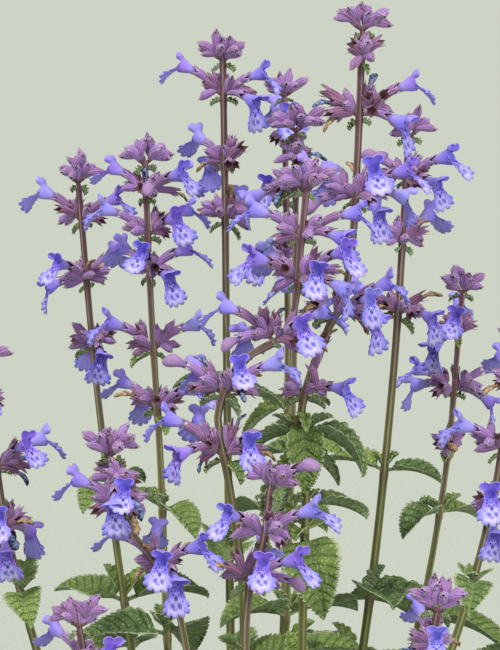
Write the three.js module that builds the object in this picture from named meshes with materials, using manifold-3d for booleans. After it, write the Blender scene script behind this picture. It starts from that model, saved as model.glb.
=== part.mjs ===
// Potted catmint: a clump of square flowering stems standing in the soil of a plain terracotta pot.
// Millimetres, +Z up, origin on the ground under the middle of the pot.
// Every leafy stem is one green solid with its leaves, and every spike above it one purple solid
// with its calyces and flowers. The same clearance rule bends each leaf and flower out of the way.
import * as THREE from "three";
import { mergeVertices } from "three/addons/utils/BufferGeometryUtils.js";
import Module from "manifold-3d";

const wasm = await Module();
wasm.setup();

// Driving dimensions
const pot = {
  height: 100, footRadius: 40, waistRadius: 54, rimRadius: 60, rimHeight: 21,
  wall: 4.5, floor: 7, drainRadius: 6.5, edge: 1.5, step: 1, segments: 24,
};
const soil = { top: 86, crown: 3, gap: 0.3, hole: 3.6 };
const stemWidth = 2.2;
const axisWidth = 1.6;
const stalkRadius = 0.5;
const rootDepth = 20;
const rootFoot = soil.top - rootDepth;
const jointGap = 0.45;
const overBend = 0.8;
const clearance = 0.15;
const sliver = 0.01;
const bladeThickness = 0.6;
const leafShape = { width: 0.62, fold: 24, droop: 46, twist: 14, sunk: 0.6, youngest: 0.64, manyTeeth: 26 };
const calyx = { length: 7.4, belly: 1.2, mouth: 1.3, recess: 1.6, foot: 0.3 };
const corolla = { bow: 14, seat: 1, thickness: 0.6, throat: 1.7, neck: 3.2, hollow: 4.5 };
const bud = { widest: 3.2, radius: 1.7, tip: 5.6 };
const cyme = { rise: 34, stalk: 1.9, step: 1.05, tilt: 47, turn: 137.5 };
const aside = { turn: 14, lift: 18 };

// Colours of each kind of piece
const colours = {
  terracotta: 0xb5683f, earth: 0x3a2a20, green: 0x6c8450, purple: 0x7d5f96,
};

// Where each stem runs: its points from the root up, how high its green part reaches, the heights
// of its leaf pairs, the direction of its lowest pair, the length of its longest leaf, and its
// whorls as height, direction, the calyces of the two cymes from the outermost inwards, and the
// length of their stalk where it is a long one. A leaf pair may give its two leaves, each as
// direction, rise, length, fold along the midrib and arch.
// o is an open flower, b a corolla in bud, s a spent calyx and c a young closed one.
const floweringStems = [
  {
    name: "right_tall", green: 233.2, turn: -72, leaf: 28,
    points: [
      [9, -4, 90], [12, -7, 140], [13, -8, 193], [13.5, -8, 220], [12.5, -8, 234],
      [18.3, -7, 252], [22, -6, 259], [24, -6, 269], [25.5, -5, 293], [26.6, -4, 325],
    ],
    leaves: [
      164, [202, [-84, -18, 25, 14, 50], [96, 4, 23]], [209, [28, 8, 18], [212, -4, 15]],
      [222, [200, -58, 23, 58, 24], [20, -24, 12]], [227, [-22, 26, 20, 32, 76], [158, 2, 17]],
      [231.5, [-80, -46, 19, 36, 30], [100, 12, 17]],
    ],
    whorls: [
      [323, 10, "cc", "c"], [316, 100, "c", "c"], [302.6, -6, "oscs", "scs"],
      [283, -24, "ooob", "oob"], [255, -12, "oosc", "ocs"], [236, -12, "ss", "", 8],
    ],
  },
  {
    name: "centre_tall", green: 220, turn: 20, leaf: 26,
    points: [
      [-4, -12, 90], [-2, -20, 140], [-1.7, -24, 193], [-3, -25, 206], [-5.2, -26, 221],
      [-7.4, -26, 236], [-2, -26, 248], [7.4, -25, 254], [10, -25, 259], [11.9, -24, 277],
      [13.1, -23, 289],
    ],
    leaves: [146, 176],
    whorls: [
      [287, -14, "cc", "cc"], [276, -6, "ocb", "oc"], [266, -10, "oosc", "oo"],
      [252, -20, "oos", "osb"], [240, -14, "oos", "bos"], [225, -16, "coss", "oooc"],
    ],
  },
  {
    name: "left_leaning", green: 192, turn: 60, leaf: 25,
    points: [
      [-14, -14, 90], [-13, -24, 140], [-15, -28, 180], [-18.6, -30, 195],
      [-23.3, -31, 203.6], [-28, -31, 209.5], [-31, -31, 218], [-32.6, -30, 228],
    ],
    leaves: [136, 166],
    whorls: [[226, -20, "cc", "cc"], [219, -60, "c", "c"], [213, -30, "co", "oo"], [199, -40, "oo", "ooc"]],
  },
  {
    name: "front_low", green: 193, turn: -20, leaf: 25,
    points: [[4, -20, 90], [2, -32, 140], [-1, -38, 180], [0, -39, 198], [3, -40, 208], [4.8, -40, 223]],
    leaves: [134, 164],
    whorls: [[220, -30, "b", "c"], [209, -20, "oc", "oc"], [198, -35, "oob", "oo"]],
  },
  {
    name: "rear_left_tall", green: 216, turn: 35, leaf: 27,
    points: [[-12, 8, 90], [-20, 20, 150], [-23, 28, 215], [-25, 30, 250], [-26.6, 31, 291]],
    leaves: [168, 200],
    whorls: [
      [288, 30, "cc", "c"], [280, -40, "ob", "o"], [270, 0, "oo", "oc"], [260, -50, "oo", "o"],
      [241, 0, "o", "oc"], [225, -40, "o", "oc"],
    ],
  },
  {
    name: "rear_centre_tall", green: 260, turn: 80, leaf: 26,
    points: [[-4, 14, 90], [-5, 34, 160], [-6, 44, 230], [-6.5, 48, 280], [-7, 49, 316]],
    leaves: [186, 226],
    whorls: [[313, 0, "c", "c"], [304, -20, "o", "oc"], [286, -54, "s", "o"], [272, 10, "c", "c"]],
  },
  {
    name: "rear_bud", green: 264, turn: 50, leaf: 25,
    points: [[5, 10, 90], [9, 18, 170], [11, 22, 240], [11.5, 23, 299]],
    leaves: [174, 216],
    whorls: [[297, 0, "cc", "c"], [290, 90, "c", "c"], [282, 30, "cc", "c"]],
  },
  {
    name: "rear_right", green: 236, turn: 0, leaf: 26,
    points: [[14, 8, 90], [28, 20, 160], [36, 28, 230], [40, 30, 297]],
    leaves: [146, 178, 210],
    whorls: [[295, 20, "c", "c"], [284, -30, "oc", "b"], [268, 40, "o", "c"], [250, -20, "s", "o"]],
  },
  {
    name: "back_middle", green: 246, turn: 30, leaf: 26,
    points: [[5, 20, 90], [9, 46, 170], [10, 57, 240], [9, 62, 305]],
    leaves: [156, 190, 222],
    whorls: [[303, 0, "c", "c"], [292, 90, "oc", "o"], [276, 20, "o", "c"], [260, 80, "s", "s"]],
  },
  {
    name: "back_left", green: 226, turn: 70, leaf: 26,
    points: [[-18, 16, 90], [-31, 37, 160], [-40, 50, 225], [-45, 54, 283]],
    leaves: [142, 172, 202],
    whorls: [[281, 40, "c", "c"], [271, -30, "o", "oc"], [255, 50, "oc", "o"], [238, -40, "s", "c"]],
  },
  {
    name: "left_outer", green: 192, turn: 90, leaf: 28,
    points: [[-22, -2, 90], [-44, -3, 145], [-58, -3, 195], [-65, -2, 244]],
    leaves: [132, 160, 186],
    whorls: [[242, 0, "c", "c"], [231, 90, "o", "oc"], [217, 10, "oo", "o"], [201, 80, "s", "oc"]],
  },
  {
    name: "right_outer", green: 196, turn: 94, leaf: 28,
    points: [[22, -2, 90], [42, -2, 148], [57, -4, 200], [65, -5, 250]],
    leaves: [134, 163, 189],
    whorls: [[248, 30, "c", "c"], [237, 95, "o", "oc"], [222, 0, "oo", "o"], [206, 80, "s", "oc"]],
  },
  {
    name: "back_right", green: 200, turn: 40, leaf: 28,
    points: [[20, 18, 90], [40, 38, 148], [51, 49, 200], [56, 54, 254]],
    leaves: [136, 166, 194],
    whorls: [[252, 0, "c", "c"], [241, 80, "o", "oc"], [226, 0, "oc", "o"], [210, 70, "s", "c"]],
  },
  {
    name: "front_left", green: 164, turn: 30, leaf: 28,
    points: [[-12, -24, 90], [-25, -44, 130], [-34, -56, 166], [-38, -62, 196]],
    leaves: [122, 148],
    whorls: [[194, 0, "c", "c"], [184, -60, "o", "oc"], [172, 10, "oo", "c"]],
  },
  {
    name: "front_right", green: 166, turn: -30, leaf: 28,
    points: [[14, -22, 90], [28, -42, 130], [37, -54, 168], [42, -60, 199]],
    leaves: [123, 150],
    whorls: [[197, 0, "c", "c"], [187, -90, "o", "oc"], [175, 0, "o", "oc"]],
  },
];

// The leafy shoots round the foot of the clump: direction, height and how far out the tip leans
const shoot = { rootRadius: 34, rise: 90, bend: 96, leaf: 33, pairs: [0.14, 0.42, 0.7] };
const leafyShoots = [
  [-88, 142, 65], [-148, 152, 70], [-26, 148, 72], [22, 160, 68], [66, 154, 70], [120, 158, 66],
  [156, 156, 70],
].map(([azimuth, tip, reachOut], i) => {
  const place = (radius, height) => {
    const angle = (azimuth * Math.PI) / 180;
    return [radius * Math.cos(angle), radius * Math.sin(angle), height];
  };
  const heightAt = (share) => shoot.bend + (tip - shoot.bend) * share;
  return {
    name: `shoot_${i + 1}`, green: tip, turn: azimuth + 45 * (i % 2), leaf: shoot.leaf, whorls: [],
    points: [
      place(shoot.rootRadius, shoot.rise), place(0.7 * reachOut, heightAt(0.45)), place(reachOut, tip),
    ],
    leaves: [...shoot.pairs.map(heightAt), tip - 3],
  };
});

const stems = [...floweringStems, ...leafyShoots];

const up = new THREE.Vector3(0, 0, 1);
const rad = THREE.MathUtils.degToRad;

// Even draws from a seed, the same on every run
function drawsFrom(seed) {
  let state = seed * 2654435 + 12345;
  const next = (low, high) => {
    state = (Math.imul(state, 1664525) + 1013904223) >>> 0;
    return low + ((high - low) * state) / 4294967296;
  };
  next(0, 1);
  next(0, 1);
  return next;
}

// A direction from its compass angle and its rise above level, in degrees
function heading(azimuth, rise) {
  const level = Math.cos(rad(rise));
  const turn = rad(azimuth);
  return new THREE.Vector3(level * Math.cos(turn), level * Math.sin(turn), Math.sin(rad(rise)));
}

// A frame whose u runs along the direction, w as near upright as it can, and v to the side
function frameAlong(origin, direction, roll = 0) {
  const u = direction.clone().normalize();
  const spare = Math.abs(u.z) > 0.98 ? new THREE.Vector3(0, 1, 0) : up;
  const w = spare.clone().addScaledVector(u, -spare.dot(u)).normalize().applyAxisAngle(u, rad(roll));
  const v = w.clone().cross(u);
  return { origin, u, v, w };
}

function at(frame, u, v, w) {
  return frame.origin.clone().addScaledVector(frame.u, u).addScaledVector(frame.v, v)
    .addScaledVector(frame.w, w);
}

// Boolean solids

function toManifold(geometry) {
  const bare = geometry.clone();
  bare.deleteAttribute("normal");
  bare.deleteAttribute("uv");
  const merged = mergeVertices(bare, 1e-4);
  const mesh = new wasm.Mesh({
    numProp: 3,
    vertProperties: new Float32Array(merged.attributes.position.array),
    triVerts: new Uint32Array(merged.index.array),
  });
  return new wasm.Manifold(mesh);
}

function toGeometry(solid) {
  const mesh = solid.getMesh();
  const geometry = new THREE.BufferGeometry();
  geometry.setAttribute("position", new THREE.BufferAttribute(mesh.vertProperties, 3));
  geometry.setIndex(new THREE.BufferAttribute(mesh.triVerts, 1));
  return geometry;
}

// The pieces fused in one body: a hollow that fusing seals is filled, a loose scrap is dropped, and
// the slivers that joining leaves are merged
function fuse(pieces) {
  const whole = pieces.reduce((sum, piece) => sum.add(piece));
  const body = whole.decompose().sort((a, b) => b.volume() - a.volume())[0];
  return body.asOriginal().simplify(sliver);
}

// A closed skin over rings of points that run counterclockwise round the way they follow
function loft(rings) {
  const corners = [];
  const faces = [];
  const starts = rings.map((ring) => {
    corners.push(...ring);
    return corners.length - ring.length;
  });
  for (let k = 0; k + 1 < rings.length; k += 1) {
    const [below, above] = [rings[k].length, rings[k + 1].length];
    const low = (i) => starts[k] + (i % below);
    const high = (i) => starts[k + 1] + (i % above);
    const [lowSteps, highSteps] = [below > 1 ? below : 0, above > 1 ? above : 0];
    for (let i = 0, j = 0; i < lowSteps || j < highSteps;) {
      const lowFirst = j >= highSteps || (i < lowSteps && (i + 0.5) * above <= (j + 0.5) * below);
      if (lowFirst) faces.push(low(i), low(i + 1), high(j));
      else faces.push(low(i), high(j + 1), high(j));
      if (lowFirst) i += 1;
      else j += 1;
    }
  }
  const last = starts[rings.length - 1];
  for (let i = 1; i + 1 < rings[0].length; i += 1) faces.push(0, i + 1, i);
  for (let i = 1; i + 1 < rings[rings.length - 1].length; i += 1) faces.push(last, last + i, last + i + 1);
  const geometry = new THREE.BufferGeometry();
  geometry.setFromPoints(corners);
  geometry.setIndex(faces);
  return toManifold(geometry);
}

function ring(frame, along, radius, count, turn = 90) {
  return Array.from({ length: count }, (_, i) => {
    const angle = rad(turn + (360 * i) / count);
    return at(frame, along, radius * Math.cos(angle), radius * Math.sin(angle));
  });
}

// Clearance: a box round every leaf, flower and stretch of stem, kept clear of the others' boxes

function boxAround(frame, points) {
  const axes = [frame.u, frame.v, frame.w];
  const spans = axes.map((axis) => {
    const reaches = points.map((point) => axis.dot(point));
    return [Math.min(...reaches), Math.max(...reaches)];
  });
  const centre = new THREE.Vector3();
  axes.forEach((axis, i) => centre.addScaledVector(axis, (spans[i][0] + spans[i][1]) / 2));
  const half = spans.map(([low, high]) => (high - low) / 2 + clearance);
  return { centre, axes, half, radius: Math.hypot(...half) };
}

function reach(box, axis) {
  return box.axes.reduce((sum, own, i) => sum + box.half[i] * Math.abs(own.dot(axis)), 0);
}

function boxesCross(a, b) {
  const between = b.centre.clone().sub(a.centre);
  if (between.length() > a.radius + b.radius) return false;
  const crosses = a.axes.flatMap((one) => b.axes.map((other) => one.clone().cross(other)));
  return [...a.axes, ...b.axes, ...crosses].every(
    (axis) => Math.abs(between.dot(axis)) <= reach(a, axis) + reach(b, axis),
  );
}

// Stems

// Upright in the soil, then through the stem's own points
function pathOf(stem) {
  const [x, y] = stem.points[0];
  const root = [[x, y, rootFoot], [x, y, soil.top - rootDepth / 2]];
  const points = [...root, ...stem.points].map((point) => new THREE.Vector3(...point));
  return new THREE.CatmullRomCurve3(points);
}

// The point of a rising path at a height
function pointAt(path, height) {
  let low = 0;
  let high = 1;
  for (let i = 0; i < 40; i += 1) {
    const middle = (low + high) / 2;
    if (path.getPoint(middle).z < height) low = middle;
    else high = middle;
  }
  return path.getPoint(low);
}

// A stretch of a path through the given heights, with one of its points at each
class Stretch extends THREE.Curve {
  constructor(path, heights) {
    super();
    this.path = path;
    this.heights = heights;
  }

  getPoint(share) {
    const place = share * (this.heights.length - 1);
    const low = Math.min(Math.floor(place), this.heights.length - 2);
    const [from, to] = this.heights.slice(low, low + 2);
    return pointAt(this.path, from + (to - from) * (place - low));
  }

  getPointAt(share) {
    return this.getPoint(share);
  }

  getTangentAt(share) {
    return this.getTangent(share);
  }
}

function rising(heights) {
  return [...heights].sort((a, b) => a - b);
}

function pairHeight(pair) {
  return Array.isArray(pair) ? pair[0] : pair;
}

// The green part bends at its leaf pairs, and the spike's axis at its whorls
function greenHeights(stem) {
  return rising([rootFoot, soil.top + soil.crown + 1, ...stem.leaves.map(pairHeight), stem.green]);
}

function axisHeights(stem) {
  const top = stem.points.at(-1)[2];
  return rising([stem.green + jointGap, ...stem.whorls.map(([z]) => z), top].filter((z) => z > stem.green));
}

function stemSolid(path, heights, width) {
  const half = width / 2;
  const square = new THREE.Shape([
    new THREE.Vector2(-half, -half), new THREE.Vector2(half, -half),
    new THREE.Vector2(half, half), new THREE.Vector2(-half, half),
  ]);
  const extrudePath = new Stretch(path, heights);
  return toManifold(new THREE.ExtrudeGeometry(square, { steps: heights.length - 1, extrudePath }));
}

function stemBoxes(path, heights, width) {
  const points = heights.map((height) => pointAt(path, height));
  return points.slice(1).map((point, i) => {
    const frame = frameAlong(points[i], point.clone().sub(points[i]));
    const ends = [points[i], point].flatMap((end) => {
      const near = { ...frame, origin: end };
      const side = width / Math.SQRT2;
      return [at(near, -clearance, -side, -side), at(near, clearance, side, side)];
    });
    return boxAround(frame, ends);
  });
}

// Leaves: a thin blade with rounded teeth, folded up along its midrib and arched down to its tip

const teeth = {
  large: [[0.13, 0.1], [0.17, 0.84], [0.33, 1], [0.47, 0.72], [0.63, 0.74]],
  small: [[0.13, 0.1], [0.19, 0.92], [0.42, 0.72], [0.6, 0.8]],
};

function leafFrame(leaf) {
  const direction = heading(leaf.azimuth, leaf.rise);
  const origin = leaf.base.clone().addScaledVector(direction, stemWidth / 2 - leafShape.sunk);
  return frameAlong(origin, direction, leaf.roll);
}

// A point of the blade from its place along the midrib, across it, and above or below the middle
function leafPoint(leaf, frame, along, across, above) {
  const bend = rad(leaf.droop);
  const turned = bend * along;
  const run = (leaf.length / bend) * Math.sin(turned);
  const fall = -(leaf.length / bend) * (1 - Math.cos(turned));
  const side = across * leaf.length * leafShape.width * 0.5;
  const lift = Math.abs(side) * Math.sin(rad(leaf.fold)) + above;
  return at(
    frame, run + lift * Math.sin(turned), side * Math.cos(rad(leaf.fold)),
    fall + lift * Math.cos(turned),
  );
}

function leafOutline(leaf) {
  const left = leaf.length > leafShape.manyTeeth ? teeth.large : teeth.small;
  const right = left.map(([along, across]) => [along, -across]);
  return [[0, 0], ...right, [1, 0], ...[...left].reverse()];
}

function leafPoints(leaf, above) {
  const frame = leafFrame(leaf);
  const places = [...leafOutline(leaf), [0.5, 0]];
  return places.map(([along, across]) => leafPoint(leaf, frame, along, across, above));
}

function leafSolid(leaf) {
  const half = bladeThickness / 2;
  const top = leafPoints(leaf, half);
  const bottom = leafPoints(leaf, -half);
  const rim = top.length - 1;
  const middle = rim;
  const faces = [];
  for (let i = 0; i < rim; i += 1) {
    const next = (i + 1) % rim;
    faces.push(middle, i, next);
    faces.push(top.length + middle, top.length + next, top.length + i);
    faces.push(i, top.length + i, top.length + next);
    faces.push(i, top.length + next, next);
  }
  const geometry = new THREE.BufferGeometry();
  geometry.setFromPoints([...top, ...bottom]);
  geometry.setIndex(faces);
  return toManifold(geometry);
}

function leafBox(leaf) {
  const frame = leafFrame(leaf);
  const tip = leafPoint(leaf, frame, 1, 0, 0);
  const level = frameAlong(leaf.base, tip.clone().sub(leaf.base), leaf.roll);
  const points = [...leafPoints(leaf, bladeThickness / 2), ...leafPoints(leaf, -bladeThickness / 2)];
  return boxAround(level, points);
}

// Calyces and flowers

function calyxFrame(flower) {
  return frameAlong(flower.base, flower.direction);
}

// The corolla bows down from the line of its calyx
function corollaFrame(flower) {
  const frame = calyxFrame(flower);
  const origin = at(frame, flower.length - corolla.seat, 0, 0);
  const bow = frame.u.clone().applyAxisAngle(frame.v, rad(corolla.bow));
  return frameAlong(origin, bow);
}

// The lips' edge round the throat: waist, the upper lip's two lobes, waist, and the lower lip's fan
const lipEdge = [
  [4.6, 2.0, 0.2], [7.2, 1.7, 3.0], [7.2, -1.7, 3.0], [4.6, -2.0, 0.2],
  [6.0, -3.2, -5.2], [6.4, 0, -7.0], [6.0, 3.2, -5.2],
];

// The skin of one calyx with what stands in it, as rings from its foot outwards. The outermost
// one of a cyme ends its stalk, whose root is sunk in the stem.
function flowerRings(flower) {
  const frame = calyxFrame(flower);
  const end = flower.length;
  const root = (turn) => {
    if (!flower.stalk) return [[at(frame, -calyx.foot, 0, 0)]];
    const stalk = frameAlong(flower.foot, flower.base.clone().sub(flower.foot));
    return [ring(stalk, 0, stalkRadius, 3, turn), ring(stalk, flower.stalk, stalkRadius, 3, turn)];
  };
  if (flower.stage === "c") {
    return [...root(90), ring(frame, end / 2, calyx.belly, 4), [at(frame, end, 0, 0)]];
  }
  if (flower.stage === "s") {
    return [...root(90), ring(frame, end, calyx.mouth, 5), [at(frame, end - calyx.recess, 0, 0)]];
  }
  const bowed = corollaFrame(flower);
  if (flower.stage === "b") {
    return [
      ...root(90), ring(frame, end / 2, calyx.belly, 5), ring(bowed, bud.widest, bud.radius, 5),
      [at(bowed, bud.tip, 0, 0)],
    ];
  }
  const count = lipEdge.length;
  const lips = (forward) => lipEdge.map(([u, v, w]) => at(bowed, u + forward, v, w));
  return [
    ...root(0), ring(bowed, corolla.neck, corolla.throat, count, 0), lips(0), lips(corolla.thickness),
    [at(bowed, corolla.hollow, 0, 0)],
  ];
}

// The rings past the root, which the flowers round it make room for
function bloomRings(flower) {
  return flowerRings(flower).slice(flower.stalk ? 2 : 1);
}

function flowerBox(flower) {
  return boxAround(calyxFrame(flower), flowerRings(flower).flat());
}

// The outer part alone, which its neighbours on the same spike make room for
function bloomBox(flower) {
  return boxAround(calyxFrame(flower), bloomRings(flower).flat());
}

// What keeps a piece clear of the pot: over its rim, inside it over the soil, or outside it
function clearOfPot(points) {
  const room = 1.5;
  const between = points.map((point, i) => point.clone().lerp(points[(i + 1) % points.length], 0.5));
  return [...points, ...between].every(({ x, y, z }) => {
    const radius = Math.hypot(x, y);
    const within = radius < pot.waistRadius - pot.wall - room && z > soil.top + soil.crown + room;
    const outside = radius > pot.rimRadius + room && z > pot.height - pot.rimHeight;
    return z > pot.height + room || within || outside;
  });
}

// Every leaf and flower in its place, tried straight first and then bent aside

const tries = [0, 1, -1, 2, -2, 3, -3, 4, -4, 5, -5].flatMap(
  (turns) => [0, 1, -1, 2].map((lifts) => [turns * aside.turn, lifts * aside.lift]),
).sort((a, b) => Math.hypot(...a) - Math.hypot(...b));

function settle(box, points, owner, boxes) {
  return clearOfPot(points) && !boxes.some((other) => other.owner !== owner && boxesCross(box, other));
}

function placeFlower(plan, whole, boxes) {
  const clear = tries.map(([turn, lift]) => {
    const direction = plan.direction.clone().applyAxisAngle(up, rad(turn));
    const side = direction.clone().cross(up).normalize();
    direction.applyAxisAngle(side, rad(lift / 2));
    return { ...plan, direction };
  }).filter((flower) => settle(flowerBox(flower), flowerRings(flower).flat(), whole, boxes));
  const crowd = boxes.filter((box) => box.bloom && box.owner === whole);
  const crossings = (flower) => crowd.filter((other) => boxesCross(bloomBox(flower), other)).length;
  const roomiest = clear.sort((a, b) => crossings(a) - crossings(b))[0];
  const chosen = roomiest && (plan.stage === "o" || crossings(roomiest) === 0) ? roomiest : null;
  if (chosen) {
    boxes.push({ ...flowerBox(chosen), owner: whole }, { ...bloomBox(chosen), owner: whole, bloom: true });
  }
  return chosen;
}

function placeLeaf(plan, whole, boxes) {
  for (const [turn, lift] of tries) {
    const leaf = { ...plan, azimuth: plan.azimuth + turn, rise: plan.rise + lift };
    const box = leafBox(leaf);
    if (settle(box, leafPoints(leaf, 0).slice(1), whole, boxes)) {
      boxes.push({ ...box, owner: whole });
      return leaf;
    }
  }
  return null;
}

function cymePlans(path, height, azimuth, letters, seed, stalk = cyme.stalk) {
  const draw = drawsFrom(seed);
  const rise = stalk > cyme.stalk ? 2 * cyme.rise : cyme.rise;
  const frame = frameAlong(pointAt(path, height + overBend), heading(azimuth, rise));
  const count = letters.length;
  return [...letters].map((stage, i) => {
    const along = stalk + cyme.step * (count - 1 - i);
    const tilt = rad(i === 0 ? draw(0, 12) : cyme.tilt + draw(-7, 7));
    const turn = cyme.turn * i + draw(-20, 20) - 60;
    const lean = frame.w.clone().applyAxisAngle(frame.u, rad(turn));
    const direction = frame.u.clone().multiplyScalar(Math.cos(tilt));
    direction.addScaledVector(lean, Math.sin(tilt));
    const length = calyx.length * (stage === "c" ? draw(0.62, 0.82) : draw(0.92, 1.04));
    return { stage, base: at(frame, along, 0, 0), direction, length, foot: frame.origin, along };
  });
}

// The two leaves of each pair, as given or drawn: lower pairs are longer, and each crosses the last
function leafPlans(stem, path, index) {
  const heights = stem.leaves.map(pairHeight);
  const top = Math.max(...heights);
  return stem.leaves.flatMap((pair, row) => {
    const share = (top - heights[row]) / Math.max(1, top - pot.height);
    return [0, 1].map((side) => {
      const draw = drawsFrom(index * 97 + row * 7 + side * 3);
      const drawn = [
        stem.turn + 90 * row + 180 * side + draw(-16, 16), draw(2, 32),
        stem.leaf * Math.min(1, leafShape.youngest + share) * draw(0.9, 1.06),
        leafShape.fold * draw(0.7, 1.4), leafShape.droop * draw(0.6, 1.5),
      ];
      const given = Array.isArray(pair) ? pair[side + 1] : [];
      const [azimuth, rise, length, fold, droop] = drawn.map((value, i) => given[i] ?? value);
      const roll = draw(-leafShape.twist, leafShape.twist);
      return { base: pointAt(path, heights[row] + overBend), azimuth, rise, length, fold, droop, roll };
    });
  });
}

const paths = stems.map(pathOf);
const boxes = [];
stems.forEach((stem, index) => {
  const heights = [...greenHeights(stem), ...axisHeights(stem)];
  stemBoxes(paths[index], heights, stemWidth).forEach((box) => {
    const kind = box.centre.z > stem.green ? "spike" : "leafy";
    boxes.push({ ...box, owner: `${kind} ${stem.name}` });
  });
});

// The first flower that finds room carries the cyme's stalk, and the others stand on it
function placeCyme(plans, whole) {
  return plans.reduce((placed, plan) => {
    const flower = placeFlower({ ...plan, stalk: placed.length ? 0 : plan.along }, whole, boxes);
    return flower ? [...placed, flower] : placed;
  }, []);
}

function whorlFlowers([height, azimuth, first, second, stalk], stem, index, row) {
  const seed = index * 101 + row * 11;
  const whole = `spike ${stem.name}`;
  return [
    ...placeCyme(cymePlans(paths[index], height, azimuth, first, seed + 1, stalk), whole),
    ...placeCyme(cymePlans(paths[index], height, azimuth + 180, second, seed + 2, stalk), whole),
  ];
}

const flowers = stems.map((stem, index) => (
  stem.whorls.flatMap((whorl, row) => whorlFlowers(whorl, stem, index, row))
));

const leaves = stems.map((stem, index) => {
  const plans = leafPlans(stem, paths[index], index);
  return plans.map((plan) => placeLeaf(plan, `leafy ${stem.name}`, boxes)).filter(Boolean);
});

// The whole solids

function leafyStem(stem, index) {
  const shaft = stemSolid(paths[index], greenHeights(stem), stemWidth);
  return fuse([shaft, ...leaves[index].map(leafSolid)]);
}

function spike(stem, index) {
  const axis = stemSolid(paths[index], axisHeights(stem), axisWidth);
  return fuse([axis, ...flowers[index].map((flower) => loft(flowerRings(flower)))]);
}

function turned(profile) {
  const points = profile.map(([radius, height]) => new THREE.Vector2(radius, height));
  const geometry = new THREE.LatheGeometry([...points, points[0]], pot.segments);
  geometry.rotateX(Math.PI / 2);
  return toManifold(geometry);
}

function potSolid() {
  const under = pot.height - pot.rimHeight;
  const inner = (outer) => outer - pot.wall;
  return turned([
    [pot.drainRadius, 0], [pot.footRadius, 0], [pot.waistRadius, under],
    [pot.rimRadius - pot.edge, under + pot.step], [pot.rimRadius, pot.height - pot.edge],
    [pot.rimRadius - pot.edge, pot.height], [inner(pot.rimRadius), pot.height],
    [inner(pot.waistRadius) + pot.step, under], [inner(pot.footRadius), pot.floor],
    [pot.drainRadius, pot.floor],
  ]);
}

// Fills the pot to below its rim, with a crown in the middle and a plain hole for each stem
function soilSolid() {
  const under = pot.height - pot.rimHeight;
  const wall = (outer) => outer - pot.wall - 1.5 * soil.gap;
  const low = pot.floor + soil.gap;
  const waist = wall(pot.waistRadius) + pot.step;
  const top = waist + ((wall(pot.rimRadius) - waist) * (soil.top - under)) / pot.rimHeight;
  const plug = turned([
    [0, low], [wall(pot.footRadius), low], [waist, under], [top, soil.top], [0, soil.top + soil.crown],
  ]);
  return stems.reduce((rest, stem) => {
    const [x, y] = stem.points[0];
    const hole = new THREE.BoxGeometry(soil.hole, soil.hole, 2 * rootDepth);
    hole.translate(x, y, rootFoot - soil.gap + rootDepth);
    return rest.subtract(toManifold(hole));
  }, plug);
}

const group = new THREE.Group();

function add(name, solid, color, roughness) {
  const material = new THREE.MeshStandardMaterial({ color, roughness, metalness: 0, flatShading: true });
  const mesh = new THREE.Mesh(toGeometry(solid), material);
  mesh.name = name;
  group.add(mesh);
}

add("pot", potSolid(), colours.terracotta, 0.85);
add("soil", soilSolid(), colours.earth, 0.95);
stems.forEach((stem, index) => {
  add(`leafy_stem_${stem.name}`, leafyStem(stem, index), colours.green, 0.7);
  if (stem.whorls.length > 0) add(`flower_spike_${stem.name}`, spike(stem, index), colours.purple, 0.65);
});

export default group;
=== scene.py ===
# Potted catmint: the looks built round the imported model, in metres, +Z up.
# The plant's plan repeats the rule of the solids in millimetres, so each fine leaf and flower lies on
# its solid.
import math
import random

import bmesh
import bpy
import numpy as np
from mathutils import Matrix, Vector, noise


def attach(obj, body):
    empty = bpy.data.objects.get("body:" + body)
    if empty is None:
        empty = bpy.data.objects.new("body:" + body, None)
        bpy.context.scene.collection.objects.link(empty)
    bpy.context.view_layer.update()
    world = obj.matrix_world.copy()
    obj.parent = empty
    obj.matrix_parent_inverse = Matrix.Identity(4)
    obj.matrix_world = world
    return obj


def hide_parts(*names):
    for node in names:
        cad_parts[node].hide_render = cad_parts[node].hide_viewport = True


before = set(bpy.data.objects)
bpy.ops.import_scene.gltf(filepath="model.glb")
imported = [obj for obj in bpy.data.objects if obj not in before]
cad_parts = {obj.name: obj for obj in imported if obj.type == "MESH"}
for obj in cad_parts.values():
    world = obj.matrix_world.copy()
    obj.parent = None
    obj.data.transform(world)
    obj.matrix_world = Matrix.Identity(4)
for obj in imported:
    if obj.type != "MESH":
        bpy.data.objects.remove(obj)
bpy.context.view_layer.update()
print("frame loaded with", len(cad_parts), "nodes")

metres = 0.001  # one millimetre


def addObject(name, data):
    made = bpy.data.objects.new(name, data)
    bpy.context.scene.collection.objects.link(made)
    return made


# The camera comes first: the photograph looks a little down on the flower spikes from the front
picture = dict(height=650, pixelsPerMm=4.2, middle=(0, -10, 254.3), elevation=9, distance=600, sensor=36)


def makeCamera():
    data = bpy.data.cameras.new("camera")
    data.sensor_width = picture["sensor"]
    data.lens = picture["sensor"] * picture["distance"] * picture["pixelsPerMm"] / picture["height"]
    data.clip_end = 100
    camera = addObject("camera", data)
    rise = math.radians(picture["elevation"])
    back = Vector((0, -math.cos(rise), math.sin(rise)))
    camera.location = (Vector(picture["middle"]) + back * picture["distance"]) * metres
    camera.rotation_euler = (-back).to_track_quat("-Z", "Y").to_euler()
    bpy.context.scene.camera = camera


makeCamera()

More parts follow.
